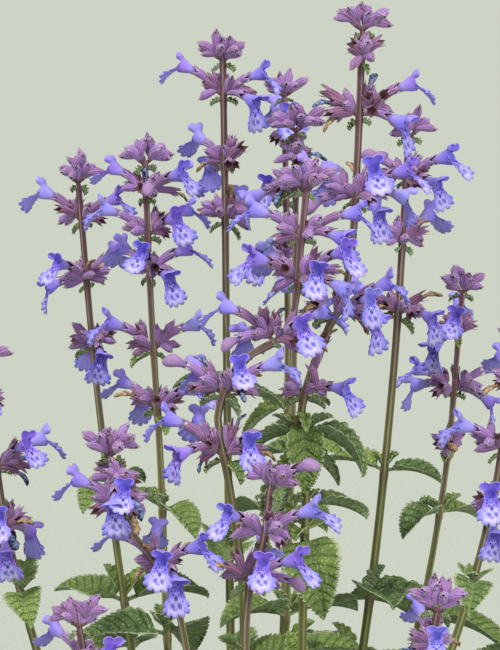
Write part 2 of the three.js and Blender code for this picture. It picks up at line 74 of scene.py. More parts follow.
# Where each stem runs: its points from the root up, how high its green part reaches, the heights of
# its leaf pairs, the direction of its lowest pair, the length of its longest leaf, and its whorls as
# height, direction, the calyces of the two cymes and the length of a long stalk.
# o is an open flower, b a corolla in bud, s a spent calyx and c a young closed one.
floweringStems = [
  dict(
    name="right_tall", green=233.2, turn=-72, leaf=28,
    points=[
      [9, -4, 90], [12, -7, 140], [13, -8, 193], [13.5, -8, 220], [12.5, -8, 234],
      [18.3, -7, 252], [22, -6, 259], [24, -6, 269], [25.5, -5, 293], [26.6, -4, 325],
    ],
    leaves=[
      164, [202, [-84, -18, 25, 14, 50], [96, 4, 23]], [209, [28, 8, 18], [212, -4, 15]],
      [222, [200, -58, 23, 58, 24], [20, -24, 12]], [227, [-22, 26, 20, 32, 76], [158, 2, 17]],
      [231.5, [-80, -46, 19, 36, 30], [100, 12, 17]],
    ],
    whorls=[
      [323, 10, "cc", "c"], [316, 100, "c", "c"], [302.6, -6, "oscs", "scs"],
      [283, -24, "ooob", "oob"], [255, -12, "oosc", "ocs"], [236, -12, "ss", "", 8],
    ],
  ),
  dict(
    name="centre_tall", green=220, turn=20, leaf=26,
    points=[
      [-4, -12, 90], [-2, -20, 140], [-1.7, -24, 193], [-3, -25, 206], [-5.2, -26, 221],
      [-7.4, -26, 236], [-2, -26, 248], [7.4, -25, 254], [10, -25, 259], [11.9, -24, 277],
      [13.1, -23, 289],
    ],
    leaves=[146, 176],
    whorls=[
      [287, -14, "cc", "cc"], [276, -6, "ocb", "oc"], [266, -10, "oosc", "oo"],
      [252, -20, "oos", "osb"], [240, -14, "oos", "bos"], [225, -16, "coss", "oooc"],
    ],
  ),
  dict(
    name="left_leaning", green=192, turn=60, leaf=25,
    points=[
      [-14, -14, 90], [-13, -24, 140], [-15, -28, 180], [-18.6, -30, 195],
      [-23.3, -31, 203.6], [-28, -31, 209.5], [-31, -31, 218], [-32.6, -30, 228],
    ],
    leaves=[136, 166],
    whorls=[[226, -20, "cc", "cc"], [219, -60, "c", "c"], [213, -30, "co", "oo"], [199, -40, "oo", "ooc"]],
  ),
  dict(
    name="front_low", green=193, turn=-20, leaf=25,
    points=[[4, -20, 90], [2, -32, 140], [-1, -38, 180], [0, -39, 198], [3, -40, 208], [4.8, -40, 223]],
    leaves=[134, 164],
    whorls=[[220, -30, "b", "c"], [209, -20, "oc", "oc"], [198, -35, "oob", "oo"]],
  ),
  dict(
    name="rear_left_tall", green=216, turn=35, leaf=27,
    points=[[-12, 8, 90], [-20, 20, 150], [-23, 28, 215], [-25, 30, 250], [-26.6, 31, 291]],
    leaves=[168, 200],
    whorls=[
      [288, 30, "cc", "c"], [280, -40, "ob", "o"], [270, 0, "oo", "oc"], [260, -50, "oo", "o"],
      [241, 0, "o", "oc"], [225, -40, "o", "oc"],
    ],
  ),
  dict(
    name="rear_centre_tall", green=260, turn=80, leaf=26,
    points=[[-4, 14, 90], [-5, 34, 160], [-6, 44, 230], [-6.5, 48, 280], [-7, 49, 316]],
    leaves=[186, 226],
    whorls=[[313, 0, "c", "c"], [304, -20, "o", "oc"], [286, -54, "s", "o"], [272, 10, "c", "c"]],
  ),
  dict(
    name="rear_bud", green=264, turn=50, leaf=25,
    points=[[5, 10, 90], [9, 18, 170], [11, 22, 240], [11.5, 23, 299]],
    leaves=[174, 216],
    whorls=[[297, 0, "cc", "c"], [290, 90, "c", "c"], [282, 30, "cc", "c"]],
  ),
  dict(
    name="rear_right", green=236, turn=0, leaf=26,
    points=[[14, 8, 90], [28, 20, 160], [36, 28, 230], [40, 30, 297]],
    leaves=[146, 178, 210],
    whorls=[[295, 20, "c", "c"], [284, -30, "oc", "b"], [268, 40, "o", "c"], [250, -20, "s", "o"]],
  ),
  dict(
    name="back_middle", green=246, turn=30, leaf=26,
    points=[[5, 20, 90], [9, 46, 170], [10, 57, 240], [9, 62, 305]],
    leaves=[156, 190, 222],
    whorls=[[303, 0, "c", "c"], [292, 90, "oc", "o"], [276, 20, "o", "c"], [260, 80, "s", "s"]],
  ),
  dict(
    name="back_left", green=226, turn=70, leaf=26,
    points=[[-18, 16, 90], [-31, 37, 160], [-40, 50, 225], [-45, 54, 283]],
    leaves=[142, 172, 202],
    whorls=[[281, 40, "c", "c"], [271, -30, "o", "oc"], [255, 50, "oc", "o"], [238, -40, "s", "c"]],
  ),
  dict(
    name="left_outer", green=192, turn=90, leaf=28,
    points=[[-22, -2, 90], [-44, -3, 145], [-58, -3, 195], [-65, -2, 244]],
    leaves=[132, 160, 186],
    whorls=[[242, 0, "c", "c"], [231, 90, "o", "oc"], [217, 10, "oo", "o"], [201, 80, "s", "oc"]],
  ),
  dict(
    name="right_outer", green=196, turn=94, leaf=28,
    points=[[22, -2, 90], [42, -2, 148], [57, -4, 200], [65, -5, 250]],
    leaves=[134, 163, 189],
    whorls=[[248, 30, "c", "c"], [237, 95, "o", "oc"], [222, 0, "oo", "o"], [206, 80, "s", "oc"]],
  ),
  dict(
    name="back_right", green=200, turn=40, leaf=28,
    points=[[20, 18, 90], [40, 38, 148], [51, 49, 200], [56, 54, 254]],
    leaves=[136, 166, 194],
    whorls=[[252, 0, "c", "c"], [241, 80, "o", "oc"], [226, 0, "oc", "o"], [210, 70, "s", "c"]],
  ),
  dict(
    name="front_left", green=164, turn=30, leaf=28,
    points=[[-12, -24, 90], [-25, -44, 130], [-34, -56, 166], [-38, -62, 196]],
    leaves=[122, 148],
    whorls=[[194, 0, "c", "c"], [184, -60, "o", "oc"], [172, 10, "oo", "c"]],
  ),
  dict(
    name="front_right", green=166, turn=-30, leaf=28,
    points=[[14, -22, 90], [28, -42, 130], [37, -54, 168], [42, -60, 199]],
    leaves=[123, 150],
    whorls=[[197, 0, "c", "c"], [187, -90, "o", "oc"], [175, 0, "o", "oc"]],
  ),
]

# The young leafy shoots round the foot of the clump: direction, height of the tip and how far out it is
shoot = dict(rootRadius=34, rise=90, bend=96, leaf=33, pairs=(0.14, 0.42, 0.7), topPair=3)
shootTips = [
  (-88, 142, 65), (-148, 152, 70), (-26, 148, 72), (22, 160, 68), (66, 154, 70), (120, 158, 66),
  (156, 156, 70),
]


def leafyShoot(number, azimuth, tip, reachOut):
    angle = azimuth * math.pi / 180

    def place(radius, height):
        return [radius * math.cos(angle), radius * math.sin(angle), height]

    def up(share):
        return shoot["bend"] + (tip - shoot["bend"]) * share

    foot, bend = place(shoot["rootRadius"], shoot["rise"]), place(0.7 * reachOut, up(0.45))
    return dict(
        name=f"shoot_{number + 1}", green=tip, turn=azimuth + 45 * (number % 2), leaf=shoot["leaf"],
        points=[foot, bend, place(reachOut, tip)], whorls=[],
        leaves=[up(share) for share in shoot["pairs"]] + [tip - shoot["topPair"]],
    )


stems = floweringStems + [leafyShoot(number, *tip) for number, tip in enumerate(shootTips)]

pot = dict(height=100, footRadius=40, waistRadius=54, rimRadius=60, rimHeight=21)
pot.update(wall=4.5, floor=7, drainRadius=6.5)
soil = dict(top=86, crown=3, gap=0.3)
stemWidth = 2.2
rootDepth = 20
rootFoot = soil["top"] - rootDepth
jointGap = 0.45  # between a leafy stem and its spike
overBend = 0.8  # how far above its given height a leaf or a cyme leaves the stem
clearance = 0.15
blade = dict(thickness=0.6, width=0.62, fold=24, droop=46, twist=14, sunk=0.6, youngest=0.64, manyTeeth=26)
blade.update(large=((0.13, 0.1), (0.17, 0.84), (0.33, 1), (0.47, 0.72), (0.63, 0.74)))
blade.update(small=((0.13, 0.1), (0.19, 0.92), (0.42, 0.72), (0.6, 0.8)))
calyx = dict(length=7.4, belly=1.2, mouth=1.3, recess=1.6, foot=0.3)
corolla = dict(bow=14, seat=1, thickness=0.6, throat=1.7, neck=3.2, hollow=4.5)
bud = dict(widest=3.2, radius=1.7, tip=5.6)
cyme = dict(rise=34, stalk=1.9, step=1.05, tilt=47, turn=137.5)
stalkRadius = 0.5
lipEdge = [
    (4.6, 2.0, 0.2), (7.2, 1.7, 3.0), (7.2, -1.7, 3.0), (4.6, -2.0, 0.2),
    (6.0, -3.2, -5.2), (6.4, 0, -7.0), (6.0, 3.2, -5.2),
]
upright = np.array([0.0, 0.0, 1.0])


# Even draws from a seed, the same on every run
def drawsFrom(seed):
    state = [int(seed * 2654435 + 12345)]

    def draw(low, high):
        state[0] = (state[0] * 1664525 + 1013904223) & 0xFFFFFFFF
        return low + (high - low) * state[0] / 4294967296

    draw(0, 1)
    draw(0, 1)
    return draw


def unit(vector):
    return vector / (np.linalg.norm(vector) or 1)


def heading(azimuth, rise):
    level = math.cos(math.radians(rise))
    turn = math.radians(azimuth)
    return np.array([level * math.cos(turn), level * math.sin(turn), math.sin(math.radians(rise))])


def turnedAbout(vector, axis, degrees):
    angle = math.radians(degrees)
    along = axis * np.dot(axis, vector) * (1 - math.cos(angle))
    return vector * math.cos(angle) + np.cross(axis, vector) * math.sin(angle) + along


# A frame of origin, u along the direction, v to the side and w as near upright as it can be
def frameAlong(origin, direction, roll=0):
    u = unit(direction)
    spare = np.array([0.0, 1.0, 0.0]) if abs(u[2]) > 0.98 else upright
    w = turnedAbout(unit(spare - u * np.dot(spare, u)), u, roll)
    return origin, u, np.cross(w, u), w


def at(place, along, side, above):
    origin, u, v, w = place
    return origin + u * along + v * side + w * above


def ring(place, along, radius, count, turn=90):
    angles = [math.radians(turn + 360 * i / count) for i in range(count)]
    return [at(place, along, radius * math.cos(a), radius * math.sin(a)) for a in angles]


# The centripetal spline through a stem's points, upright in the soil
def pathOf(stem):
    x, y, _ = stem["points"][0]
    points = [[x, y, rootFoot], [x, y, soil["top"] - rootDepth / 2]] + stem["points"]
    return np.array(points, dtype=float)


def pointOn(points, share):
    last = len(points) - 1
    step = min(int(share * last), last - 1)
    weight = share * last - step
    one, two = points[step], points[step + 1]
    before = points[step - 1] if step > 0 else 2 * points[0] - points[1]
    after = points[step + 2] if step + 2 <= last else 2 * points[last] - points[last - 1]
    spans = [np.sum((b - a) ** 2) ** 0.25 for a, b in ((before, one), (one, two), (two, after))]
    middle = spans[1]
    first, third = (span if span >= 1e-4 else middle for span in (spans[0], spans[2]))
    start = ((one - before) / first - (two - before) / (first + middle) + (two - one) / middle) * middle
    end = ((two - one) / middle - (after - one) / (middle + third) + (after - two) / third) * middle
    square, cube = weight ** 2, weight ** 3
    bend = (-3 * one + 3 * two - 2 * start - end) * square + (2 * one - 2 * two + start + end) * cube
    return one + start * weight + bend


def pointAt(points, height):
    low, high = 0.0, 1.0
    for _ in range(40):
        middle = (low + high) / 2
        if pointOn(points, middle)[2] < height:
            low = middle
        else:
            high = middle
    return pointOn(points, low)


def pairHeight(pair):
    return pair[0] if isinstance(pair, list) else pair


def greenHeights(stem):
    pairs = [pairHeight(pair) for pair in stem["leaves"]]
    return sorted([rootFoot, soil["top"] + soil["crown"] + 1, *pairs, stem["green"]])


def axisHeights(stem):
    heights = [stem["green"] + jointGap, *(whorl[0] for whorl in stem["whorls"]), stem["points"][-1][2]]
    return sorted(height for height in heights if height > stem["green"])


# A box along three axes round a set of points, as centre, axes and half sizes
def boxAround(place, points):
    axes = np.array(place[1:4])
    spans = axes @ np.array(points).T
    low, high = spans.min(axis=1), spans.max(axis=1)
    return (low + high) / 2 @ axes, axes, (high - low) / 2 + clearance


# The boxes that are in place already, with whose each is and whether it is a bloom
class Crowd:
    def __init__(self):
        self.boxes, self.owners, self.blooms = [], [], []

    def add(self, box, owner, bloom=False):
        self.boxes.append(box)
        self.owners.append(owner)
        self.blooms.append(bloom)
        self.centres = np.array([one[0] for one in self.boxes])
        self.axes = np.array([one[1] for one in self.boxes])
        self.halves = np.array([one[2] for one in self.boxes])
        self.radii = np.linalg.norm(self.halves, axis=1)

    def crossings(self, box, wanted):
        centre, axes, half = box
        near = np.linalg.norm(self.centres - centre, axis=1) <= self.radii + np.linalg.norm(half)
        found = np.nonzero(near & wanted)[0]
        if not len(found):
            return 0
        others = self.axes[found]
        sides = np.cross(axes[None, :, None, :], others[:, None, :, :]).reshape(len(found), 9, 3)
        tests = np.concatenate([np.broadcast_to(axes, (len(found), 3, 3)), others, sides], axis=1)
        gaps = np.abs(np.einsum("nij,nj->ni", tests, self.centres[found] - centre))
        own = np.abs(tests @ axes.T) @ half
        other = np.einsum("nik,nk->ni", np.abs(np.einsum("nij,nkj->nik", tests, others)), self.halves[found])
        return int(np.all(gaps <= own + other, axis=1).sum())


crowd = Crowd()


def leafFrame(leaf):
    direction = heading(leaf["azimuth"], leaf["rise"])
    return frameAlong(leaf["base"] + direction * (stemWidth / 2 - blade["sunk"]), direction, leaf["roll"])


# A point of the blade from its place along the midrib, across it, and above or below its middle
def leafPoint(leaf, place, along, across, above):
    bend = math.radians(leaf["droop"])
    turn = bend * along
    run = leaf["length"] / bend * math.sin(turn)
    fall = -leaf["length"] / bend * (1 - math.cos(turn))
    side = across * leaf["length"] * blade["width"] * 0.5
    fold = math.radians(leaf["fold"])
    lift = abs(side) * math.sin(fold) + above
    return at(place, run + lift * math.sin(turn), side * math.cos(fold), fall + lift * math.cos(turn))


def leafPoints(leaf, above):
    place = leafFrame(leaf)
    left = blade["large"] if leaf["length"] > blade["manyTeeth"] else blade["small"]
    right = [(along, -across) for along, across in left]
    outline = [(0, 0), *right, (1, 0), *reversed(left), (0.5, 0)]
    return [leafPoint(leaf, place, along, across, above) for along, across in outline]


def leafBox(leaf):
    tip = leafPoint(leaf, leafFrame(leaf), 1, 0, 0)
    level = frameAlong(leaf["base"], tip - leaf["base"], leaf["roll"])
    half = blade["thickness"] / 2
    return boxAround(level, leafPoints(leaf, half) + leafPoints(leaf, -half))


def calyxFrame(flower):
    return frameAlong(flower["base"], flower["direction"])


# The corolla bows down from the line of its calyx
def corollaFrame(flower):
    place = calyxFrame(flower)
    origin = at(place, flower["length"] - corolla["seat"], 0, 0)
    return frameAlong(origin, turnedAbout(place[1], place[2], corolla["bow"]))


def flowerRings(flower):
    place, end = calyxFrame(flower), flower["length"]
    bowed = corollaFrame(flower)

    def root(turn):
        if not flower["stalk"]:
            return [[at(place, -calyx["foot"], 0, 0)]]
        stalk = frameAlong(flower["foot"], flower["base"] - flower["foot"])
        return [ring(stalk, 0, stalkRadius, 3, turn), ring(stalk, flower["stalk"], stalkRadius, 3, turn)]

    if flower["stage"] == "c":
        return [*root(90), ring(place, end / 2, calyx["belly"], 4), [at(place, end, 0, 0)]]
    if flower["stage"] == "s":
        return [*root(90), ring(place, end, calyx["mouth"], 5), [at(place, end - calyx["recess"], 0, 0)]]
    if flower["stage"] == "b":
        swell = ring(bowed, bud["widest"], bud["radius"], 5)
        return [*root(90), ring(place, end / 2, calyx["belly"], 5), swell, [at(bowed, bud["tip"], 0, 0)]]
    lips = [[at(bowed, u + forward, v, w) for u, v, w in lipEdge] for forward in (0, corolla["thickness"])]
    neck = ring(bowed, corolla["neck"], corolla["throat"], len(lipEdge), 0)
    return [*root(0), neck, *lips, [at(bowed, corolla["hollow"], 0, 0)]]


def flat(rings):
    return [point for one in rings for point in one]


def clearOfPot(points):
    room = 1.5
    points = np.array(points)
    points = np.concatenate([points, (points + np.roll(points, -1, axis=0)) / 2])
    radius, height = np.hypot(points[:, 0], points[:, 1]), points[:, 2]
    inRim = radius < pot["waistRadius"] - pot["wall"] - room
    within = inRim & (height > soil["top"] + soil["crown"] + room)
    outside = (radius > pot["rimRadius"] + room) & (height > pot["height"] - pot["rimHeight"])
    return bool(np.all((height > pot["height"] + room) | within | outside))


# Each piece is tried straight first and then bent aside
bends = dict(turn=14, turns=(0, 1, -1, 2, -2, 3, -3, 4, -4, 5, -5), lift=18, lifts=(0, 1, -1, 2))
tries = [(turn * bends["turn"], lift * bends["lift"]) for turn in bends["turns"] for lift in bends["lifts"]]
tries.sort(key=lambda one: math.hypot(*one))


def placeFlower(plan, whole):
    others = np.array([owner != whole for owner in crowd.owners])
    siblings = np.array([bloom and owner == whole for owner, bloom in zip(crowd.owners, crowd.blooms)])
    chosen, fewest = None, None
    for turn, lift in tries:
        direction = turnedAbout(plan["direction"], upright, turn)
        side = unit(np.cross(direction, upright))
        flower = dict(plan, direction=turnedAbout(direction, side, lift / 2))
        rings = flowerRings(flower)
        around = boxAround(calyxFrame(flower), flat(rings))
        if not clearOfPot(flat(rings)) or crowd.crossings(around, others):
            continue
        outer = boxAround(calyxFrame(flower), flat(rings[2 if flower["stalk"] else 1:]))
        count = crowd.crossings(outer, siblings)
        if fewest is None or count < fewest:
            chosen, fewest = (flower, around, outer), count
        if fewest == 0:
            break
    if not chosen or (plan["stage"] != "o" and fewest > 0):
        return None
    crowd.add(chosen[1], whole)
    crowd.add(chosen[2], whole, bloom=True)
    return chosen[0]


def placeLeaf(plan, whole):
    others = np.array([owner != whole for owner in crowd.owners])
    for turn, lift in tries:
        leaf = dict(plan, azimuth=plan["azimuth"] + turn, rise=plan["rise"] + lift)
        around = leafBox(leaf)
        if clearOfPot(leafPoints(leaf, 0)[1:]) and not crowd.crossings(around, others):
            crowd.add(around, whole)
            return leaf
    return None


def cymePlans(path, height, azimuth, letters, seed, stalk):
    draw = drawsFrom(seed)
    rise = 2 * cyme["rise"] if stalk > cyme["stalk"] else cyme["rise"]
    place = frameAlong(pointAt(path, height + overBend), heading(azimuth, rise))
    plans = []
    for i, stage in enumerate(letters):
        along = stalk + cyme["step"] * (len(letters) - 1 - i)
        tilt = draw(0, 12) if i == 0 else cyme["tilt"] + draw(-7, 7)
        lean = turnedAbout(place[3], place[1], cyme["turn"] * i + draw(-20, 20) - 60)
        direction = place[1] * math.cos(math.radians(tilt)) + lean * math.sin(math.radians(tilt))
        length = calyx["length"] * (draw(0.62, 0.82) if stage == "c" else draw(0.92, 1.04))
        base = at(place, along, 0, 0)
        plan = dict(stage=stage, base=base, direction=direction, length=length)
        plans.append(dict(plan, foot=place[0], along=along))
    return plans


# The first flower that finds room carries the cyme's stalk, and the others stand on it
def placeCyme(plans, whole):
    placed = []
    for plan in plans:
        flower = placeFlower(dict(plan, stalk=0 if placed else plan["along"]), whole)
        placed += [flower] if flower else []
    return placed


def leafPlans(stem, path, index):
    heights = [pairHeight(pair) for pair in stem["leaves"]]
    top = max(heights)
    plans = []
    for row, pair in enumerate(stem["leaves"]):
        share = (top - heights[row]) / max(1, top - pot["height"])
        for side in (0, 1):
            draw = drawsFrom(index * 97 + row * 7 + side * 3)
            values = [stem["turn"] + 90 * row + 180 * side + draw(-16, 16), draw(2, 32)]
            values.append(stem["leaf"] * min(1, blade["youngest"] + share) * draw(0.9, 1.06))
            values += [blade["fold"] * draw(0.7, 1.4), blade["droop"] * draw(0.6, 1.5)]
            given = pair[side + 1] if isinstance(pair, list) else []
            values[:len(given)] = given
            leaf = dict(zip(("azimuth", "rise", "length", "fold", "droop"), values))
            leaf["base"] = pointAt(path, heights[row] + overBend)
            leaf["roll"] = draw(-blade["twist"], blade["twist"])
            plans.append(leaf)
    return plans


def placeStems(stem, path):
    points = [pointAt(path, height) for height in greenHeights(stem) + axisHeights(stem)]
    side = stemWidth / math.sqrt(2)
    for low, high in zip(points, points[1:]):
        around = frameAlong(low, high - low)
        reach = [(end, sign) for end in (low, high) for sign in (-1, 1)]
        ends = [at((end, *around[1:]), sign * clearance, sign * side, sign * side) for end, sign in reach]
        box = boxAround(around, ends)
        crowd.add(box, ("spike " if box[0][2] > stem["green"] else "leafy ") + stem["name"])


def placeWhorls(stem, path, index):
    flowers = []
    for row, whorl in enumerate(stem["whorls"]):
        height, azimuth, first, second = whorl[:4]
        stalk = whorl[4] if len(whorl) > 4 else cyme["stalk"]
        for number, letters in ((1, first), (2, second)):
            seed = index * 101 + row * 11 + number
            plans = cymePlans(path, height, azimuth + 180 * (number - 1), letters, seed, stalk)
            flowers += placeCyme(plans, "spike " + stem["name"])
    return flowers


paths = [pathOf(stem) for stem in stems]
for stem, path in zip(stems, paths):
    placeStems(stem, path)
flowers = [placeWhorls(stem, path, index) for index, (stem, path) in enumerate(zip(stems, paths))]
leaves = []
for index, (stem, path) in enumerate(zip(stems, paths)):
    found = [placeLeaf(plan, "leafy " + stem["name"]) for plan in leafPlans(stem, path, index)]
    leaves.append([leaf for leaf in found if leaf])
print("planned", sum(map(len, leaves)), "leaves and", sum(map(len, flowers)), "flowers")


# Small helpers for meshes: each point carries its place on its own leaf or petal, for the colours, and
# its kind, whose last value is the tint of the copy
def newMesh(name, bm):
    bmesh.ops.recalc_face_normals(bm, faces=bm.faces)
    mesh = bpy.data.meshes.new(name)
    bm.to_mesh(mesh)
    bm.free()
    return mesh


def newBmesh():
    bm = bmesh.new()
    bm.verts.layers.float_vector.new("place")
    bm.verts.layers.float_vector.new("kind")
    return bm


def circle(count):
    return [2 * math.pi * i / count for i in range(count)]


# A skin through rings of points: a circle is made, extruded ring by ring and closed at both ends.
# A last ring of one point is drawn together to a tip; each ring may carry its places and kinds.
def loft(rings, places=None, kinds=None):
    bm = newBmesh()
    placeLayer, kindLayer = bm.verts.layers.float_vector["place"], bm.verts.layers.float_vector["kind"]
    verts = bmesh.ops.create_circle(bm, segments=len(rings[0]), radius=1)["verts"]
    edges = list(dict.fromkeys(edge for vert in verts for edge in vert.link_edges))
    first = edges
    for level, points in enumerate(rings):
        if level:
            old = {vert: index for index, vert in enumerate(verts)}
            grown = bmesh.ops.extrude_edge_only(bm, edges=edges)["geom"]
            fresh = {item for item in grown if isinstance(item, bmesh.types.BMVert)}
            verts = [None] * len(old)
            for vert in fresh:
                ends = (edge.other_vert(vert) for edge in vert.link_edges)
                verts[old[next(end for end in ends if end in old)]] = vert
            sides = (item for item in grown if isinstance(item, bmesh.types.BMEdge))
            edges = [edge for edge in sides if set(edge.verts) <= fresh]
        tip = len(points) == 1
        for index, vert in enumerate(verts):
            number = 0 if tip else index
            vert.co = points[number]
            vert[placeLayer] = places[level][number] if places is not None else points[number]
            vert[kindLayer] = kinds[level][number] if kinds is not None else (0, 0, 0)
        if tip:
            bmesh.ops.pointmerge(bm, verts=verts, merge_co=points[0])
    bmesh.ops.holes_fill(bm, edges=first)
    if len(rings[-1]) > 1:
        bmesh.ops.holes_fill(bm, edges=[edge for edge in edges if edge.is_valid])
    return bm


def setMaterial(verts, number):
    for face in {face for vert in verts for face in vert.link_faces}:
        face.material_index = number


# Short white hairs stand on a mesh as slender straight cones
def addHairs(bm, points, directions, length, width):
    shape = dict(segments=3, radius1=width, radius2=0, depth=length)
    for point, direction in zip(points, directions):
        turn = Vector(direction).to_track_quat("Z", "Y").to_matrix().to_4x4()
        middle = Matrix.Translation(Vector(point) + Vector(direction) * length * 0.45)
        setMaterial(bmesh.ops.create_cone(bm, matrix=middle @ turn, **shape)["verts"], 1)


def coordinates(mesh):
    values = np.empty(len(mesh.vertices) * 3)
    mesh.vertices.foreach_get("co", values)
    return values.reshape(-1, 3)


def layerOf(mesh, name):
    values = np.empty(len(mesh.vertices) * 3)
    mesh.attributes[name].data.foreach_get("vector", values)
    return values.reshape(-1, 3)


# A copy of a template with its points moved and its tint set, as an object that waits to be joined
def addCopy(template, points, tint, place=None, kind=None):
    mesh = template.copy()
    mesh.vertices.foreach_set("co", (np.asarray(points) * metres).ravel())
    kind = layerOf(template, "kind") if kind is None else kind
    kind[:, 2] = tint
    mesh.attributes["kind"].data.foreach_set("vector", kind.ravel())
    if place is not None:
        mesh.attributes["place"].data.foreach_set("vector", place.ravel())
    return addObject(template.name, mesh)


def standing(template, place, size):
    origin, u, v, w = place
    local = coordinates(template) * np.array(size)
    return origin + local @ np.array([u, v, w])


# A finished piece is smooth, rides on the body and stands for its node, which it hides
def settle(piece, node):
    piece.data.polygons.foreach_set("use_smooth", [True] * len(piece.data.polygons))
    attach(piece, "root")
    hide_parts(node)


def joined(name, parts):
    chosen = dict(active_object=parts[0], selected_editable_objects=parts, selected_objects=parts)
    with bpy.context.temp_override(**chosen):
        bpy.ops.object.join()
    piece = parts[0]
    piece.name = piece.data.name = name
    return piece


# A leaf seen flat: along its midrib, across it, above it, with a stalk, round teeth and sunken veins
leafLook = dict(petiole=0.13, petioleWidth=0.075, toothRows=3, toothDepth=0.9, thickness=0.34, slant=0.62)
leafLook.update(veins=2.5, quilt=0.5, midrib=0.45, longLeaf=24)


def leafTemplate(name, rows, columns):
    bm = newBmesh()
    placeLayer = bm.verts.layers.float_vector["place"]
    bmesh.ops.create_grid(bm, x_segments=rows, y_segments=columns, size=1)
    bmesh.ops.recalc_face_normals(bm, faces=bm.faces)
    for vert in bm.verts:
        row = round((vert.co.x + 1) / 2 * rows)
        across = math.sin(vert.co.y * math.pi / 2) * 0.6 + vert.co.y * 0.4
        blades = max(0, (row - 2) / (rows - 2))
        along = leafLook["petiole"] * min(row, 2) / 2 + (1 - leafLook["petiole"]) * blades ** 1.1
        vert.co = (along, across, 0)
        vert[placeLayer] = (1 if (row - 2) % leafLook["toothRows"] else 0, 0, 0)
    bmesh.ops.solidify(bm, geom=bm.faces, thickness=0.02)
    mesh = newMesh(name, bm)
    local = coordinates(mesh)
    local[:, 2] = np.where(local[:, 2] < -0.01, -0.5, 0.5)  # the underside and the face
    mesh.vertices.foreach_set("co", local.ravel())
    return mesh


def leafShare(along):
    return np.clip((along - leafLook["petiole"]) / (1 - leafLook["petiole"]), 0, 1)


def leafHalf(along):
    share = leafShare(along)
    half = share ** 0.32 * (1 - share) ** 0.88 / 0.508
    return np.maximum(half, np.where(along < 0.5, leafLook["petioleWidth"], 0.012))


# The blade's own place on a leaf: the template's points bent, folded, quilted and toothed.
# Its rows slant forward from the midrib as the side veins do, and every third one ends between two teeth.
def grownLeaf(leaf, template, phase):
    local = coordinates(template)
    row, across, side = local[:, 0], local[:, 1], local[:, 2]
    length = leaf["length"]
    full = length * blade["width"] * 0.5
    rowShare = leafShare(row)
    slope = np.clip(np.minimum(rowShare * 4, (1 - rowShare) * 3), 0, 1) * leafLook["slant"]
    along = row + slope * np.abs(across) * leafHalf(row) * full / length
    share = leafShare(along)
    onBlade = np.clip(share * 12, 0, 1)
    half = leafHalf(along)
    margin = np.abs(across) ** 6 * onBlade * np.clip((1 - share) * 9, 0, 1)
    tooth = layerOf(template, "place")[:, 0]
    half = half + margin * leafLook["toothDepth"] * (tooth - 0.7) / full
    sideMm = across * half * full
    alongMm = along * length
    off = np.abs(sideMm)
    lateral = row * length / leafLook["veins"] + phase
    puff = np.abs(np.sin(math.pi * lateral)) ** 0.6 * leafLook["quilt"] * onBlade
    puff = puff * np.clip(off / 1.2, 0, 1) * (1 - 0.6 * np.abs(across) ** 4)
    valley = -leafLook["midrib"] * np.exp(-(sideMm / 0.6) ** 2) * onBlade
    ruffle = 0.5 * np.sin(alongMm / 2.7 + phase * 9 + np.sign(across)) * np.abs(across) ** 3 * onBlade
    thick = leafLook["thickness"] * (1 - 0.45 * np.abs(across) ** 2) + (1 - onBlade) * 0.5
    above = puff + valley + ruffle + side * thick

    bend = math.radians(leaf["droop"])
    turn = bend * along
    run = length / bend * np.sin(turn)
    fall = -length / bend * (1 - np.cos(turn))
    fold = math.radians(leaf["fold"])
    soft = np.sqrt(sideMm ** 2 + 0.16) - 0.4
    lift = soft * math.sin(fold) + above
    origin, u, v, w = leafFrame(leaf)
    forward = run + lift * np.sin(turn)
    upward = fall + lift * np.cos(turn)
    points = origin + np.outer(forward, u) + np.outer(sideMm * math.cos(fold), v) + np.outer(upward, w)
    place = np.stack([alongMm, sideMm, 0.5 - side], axis=1)
    kind = np.stack([np.abs(across) * onBlade, lateral, 0 * along], axis=1)
    return points, place, kind


def addLeaf(leaf, template, phase, tint):
    points, place, kind = grownLeaf(leaf, template, phase)
    return addCopy(template, points, tint, place, kind)


# A stem runs along its path as a square rod with a groove in each side, thicker at its leaf pairs
stemLook = dict(segments=16, step=4.5, foot=2.3, top=1.5, core=0.84, groove=0.3, knot=0.3, knotReach=1.5)
stemLook.update(byKnot=(-1.6, -0.7, 0, 0.7, 1.6), closest=0.45, sharp=60)


def stemStations(low, high, knots):
    heights = list(np.linspace(low, high, max(3, round((high - low) / stemLook["step"]))))
    for knot in knots:
        heights += [knot + shift for shift in stemLook["byKnot"] if low < knot + shift < high]
    heights = sorted(heights)
    kept = [heights[0]]
    for height in heights[1:]:
        if height - kept[-1] > stemLook["closest"]:
            kept.append(height)
    kept[-1] = high
    return kept


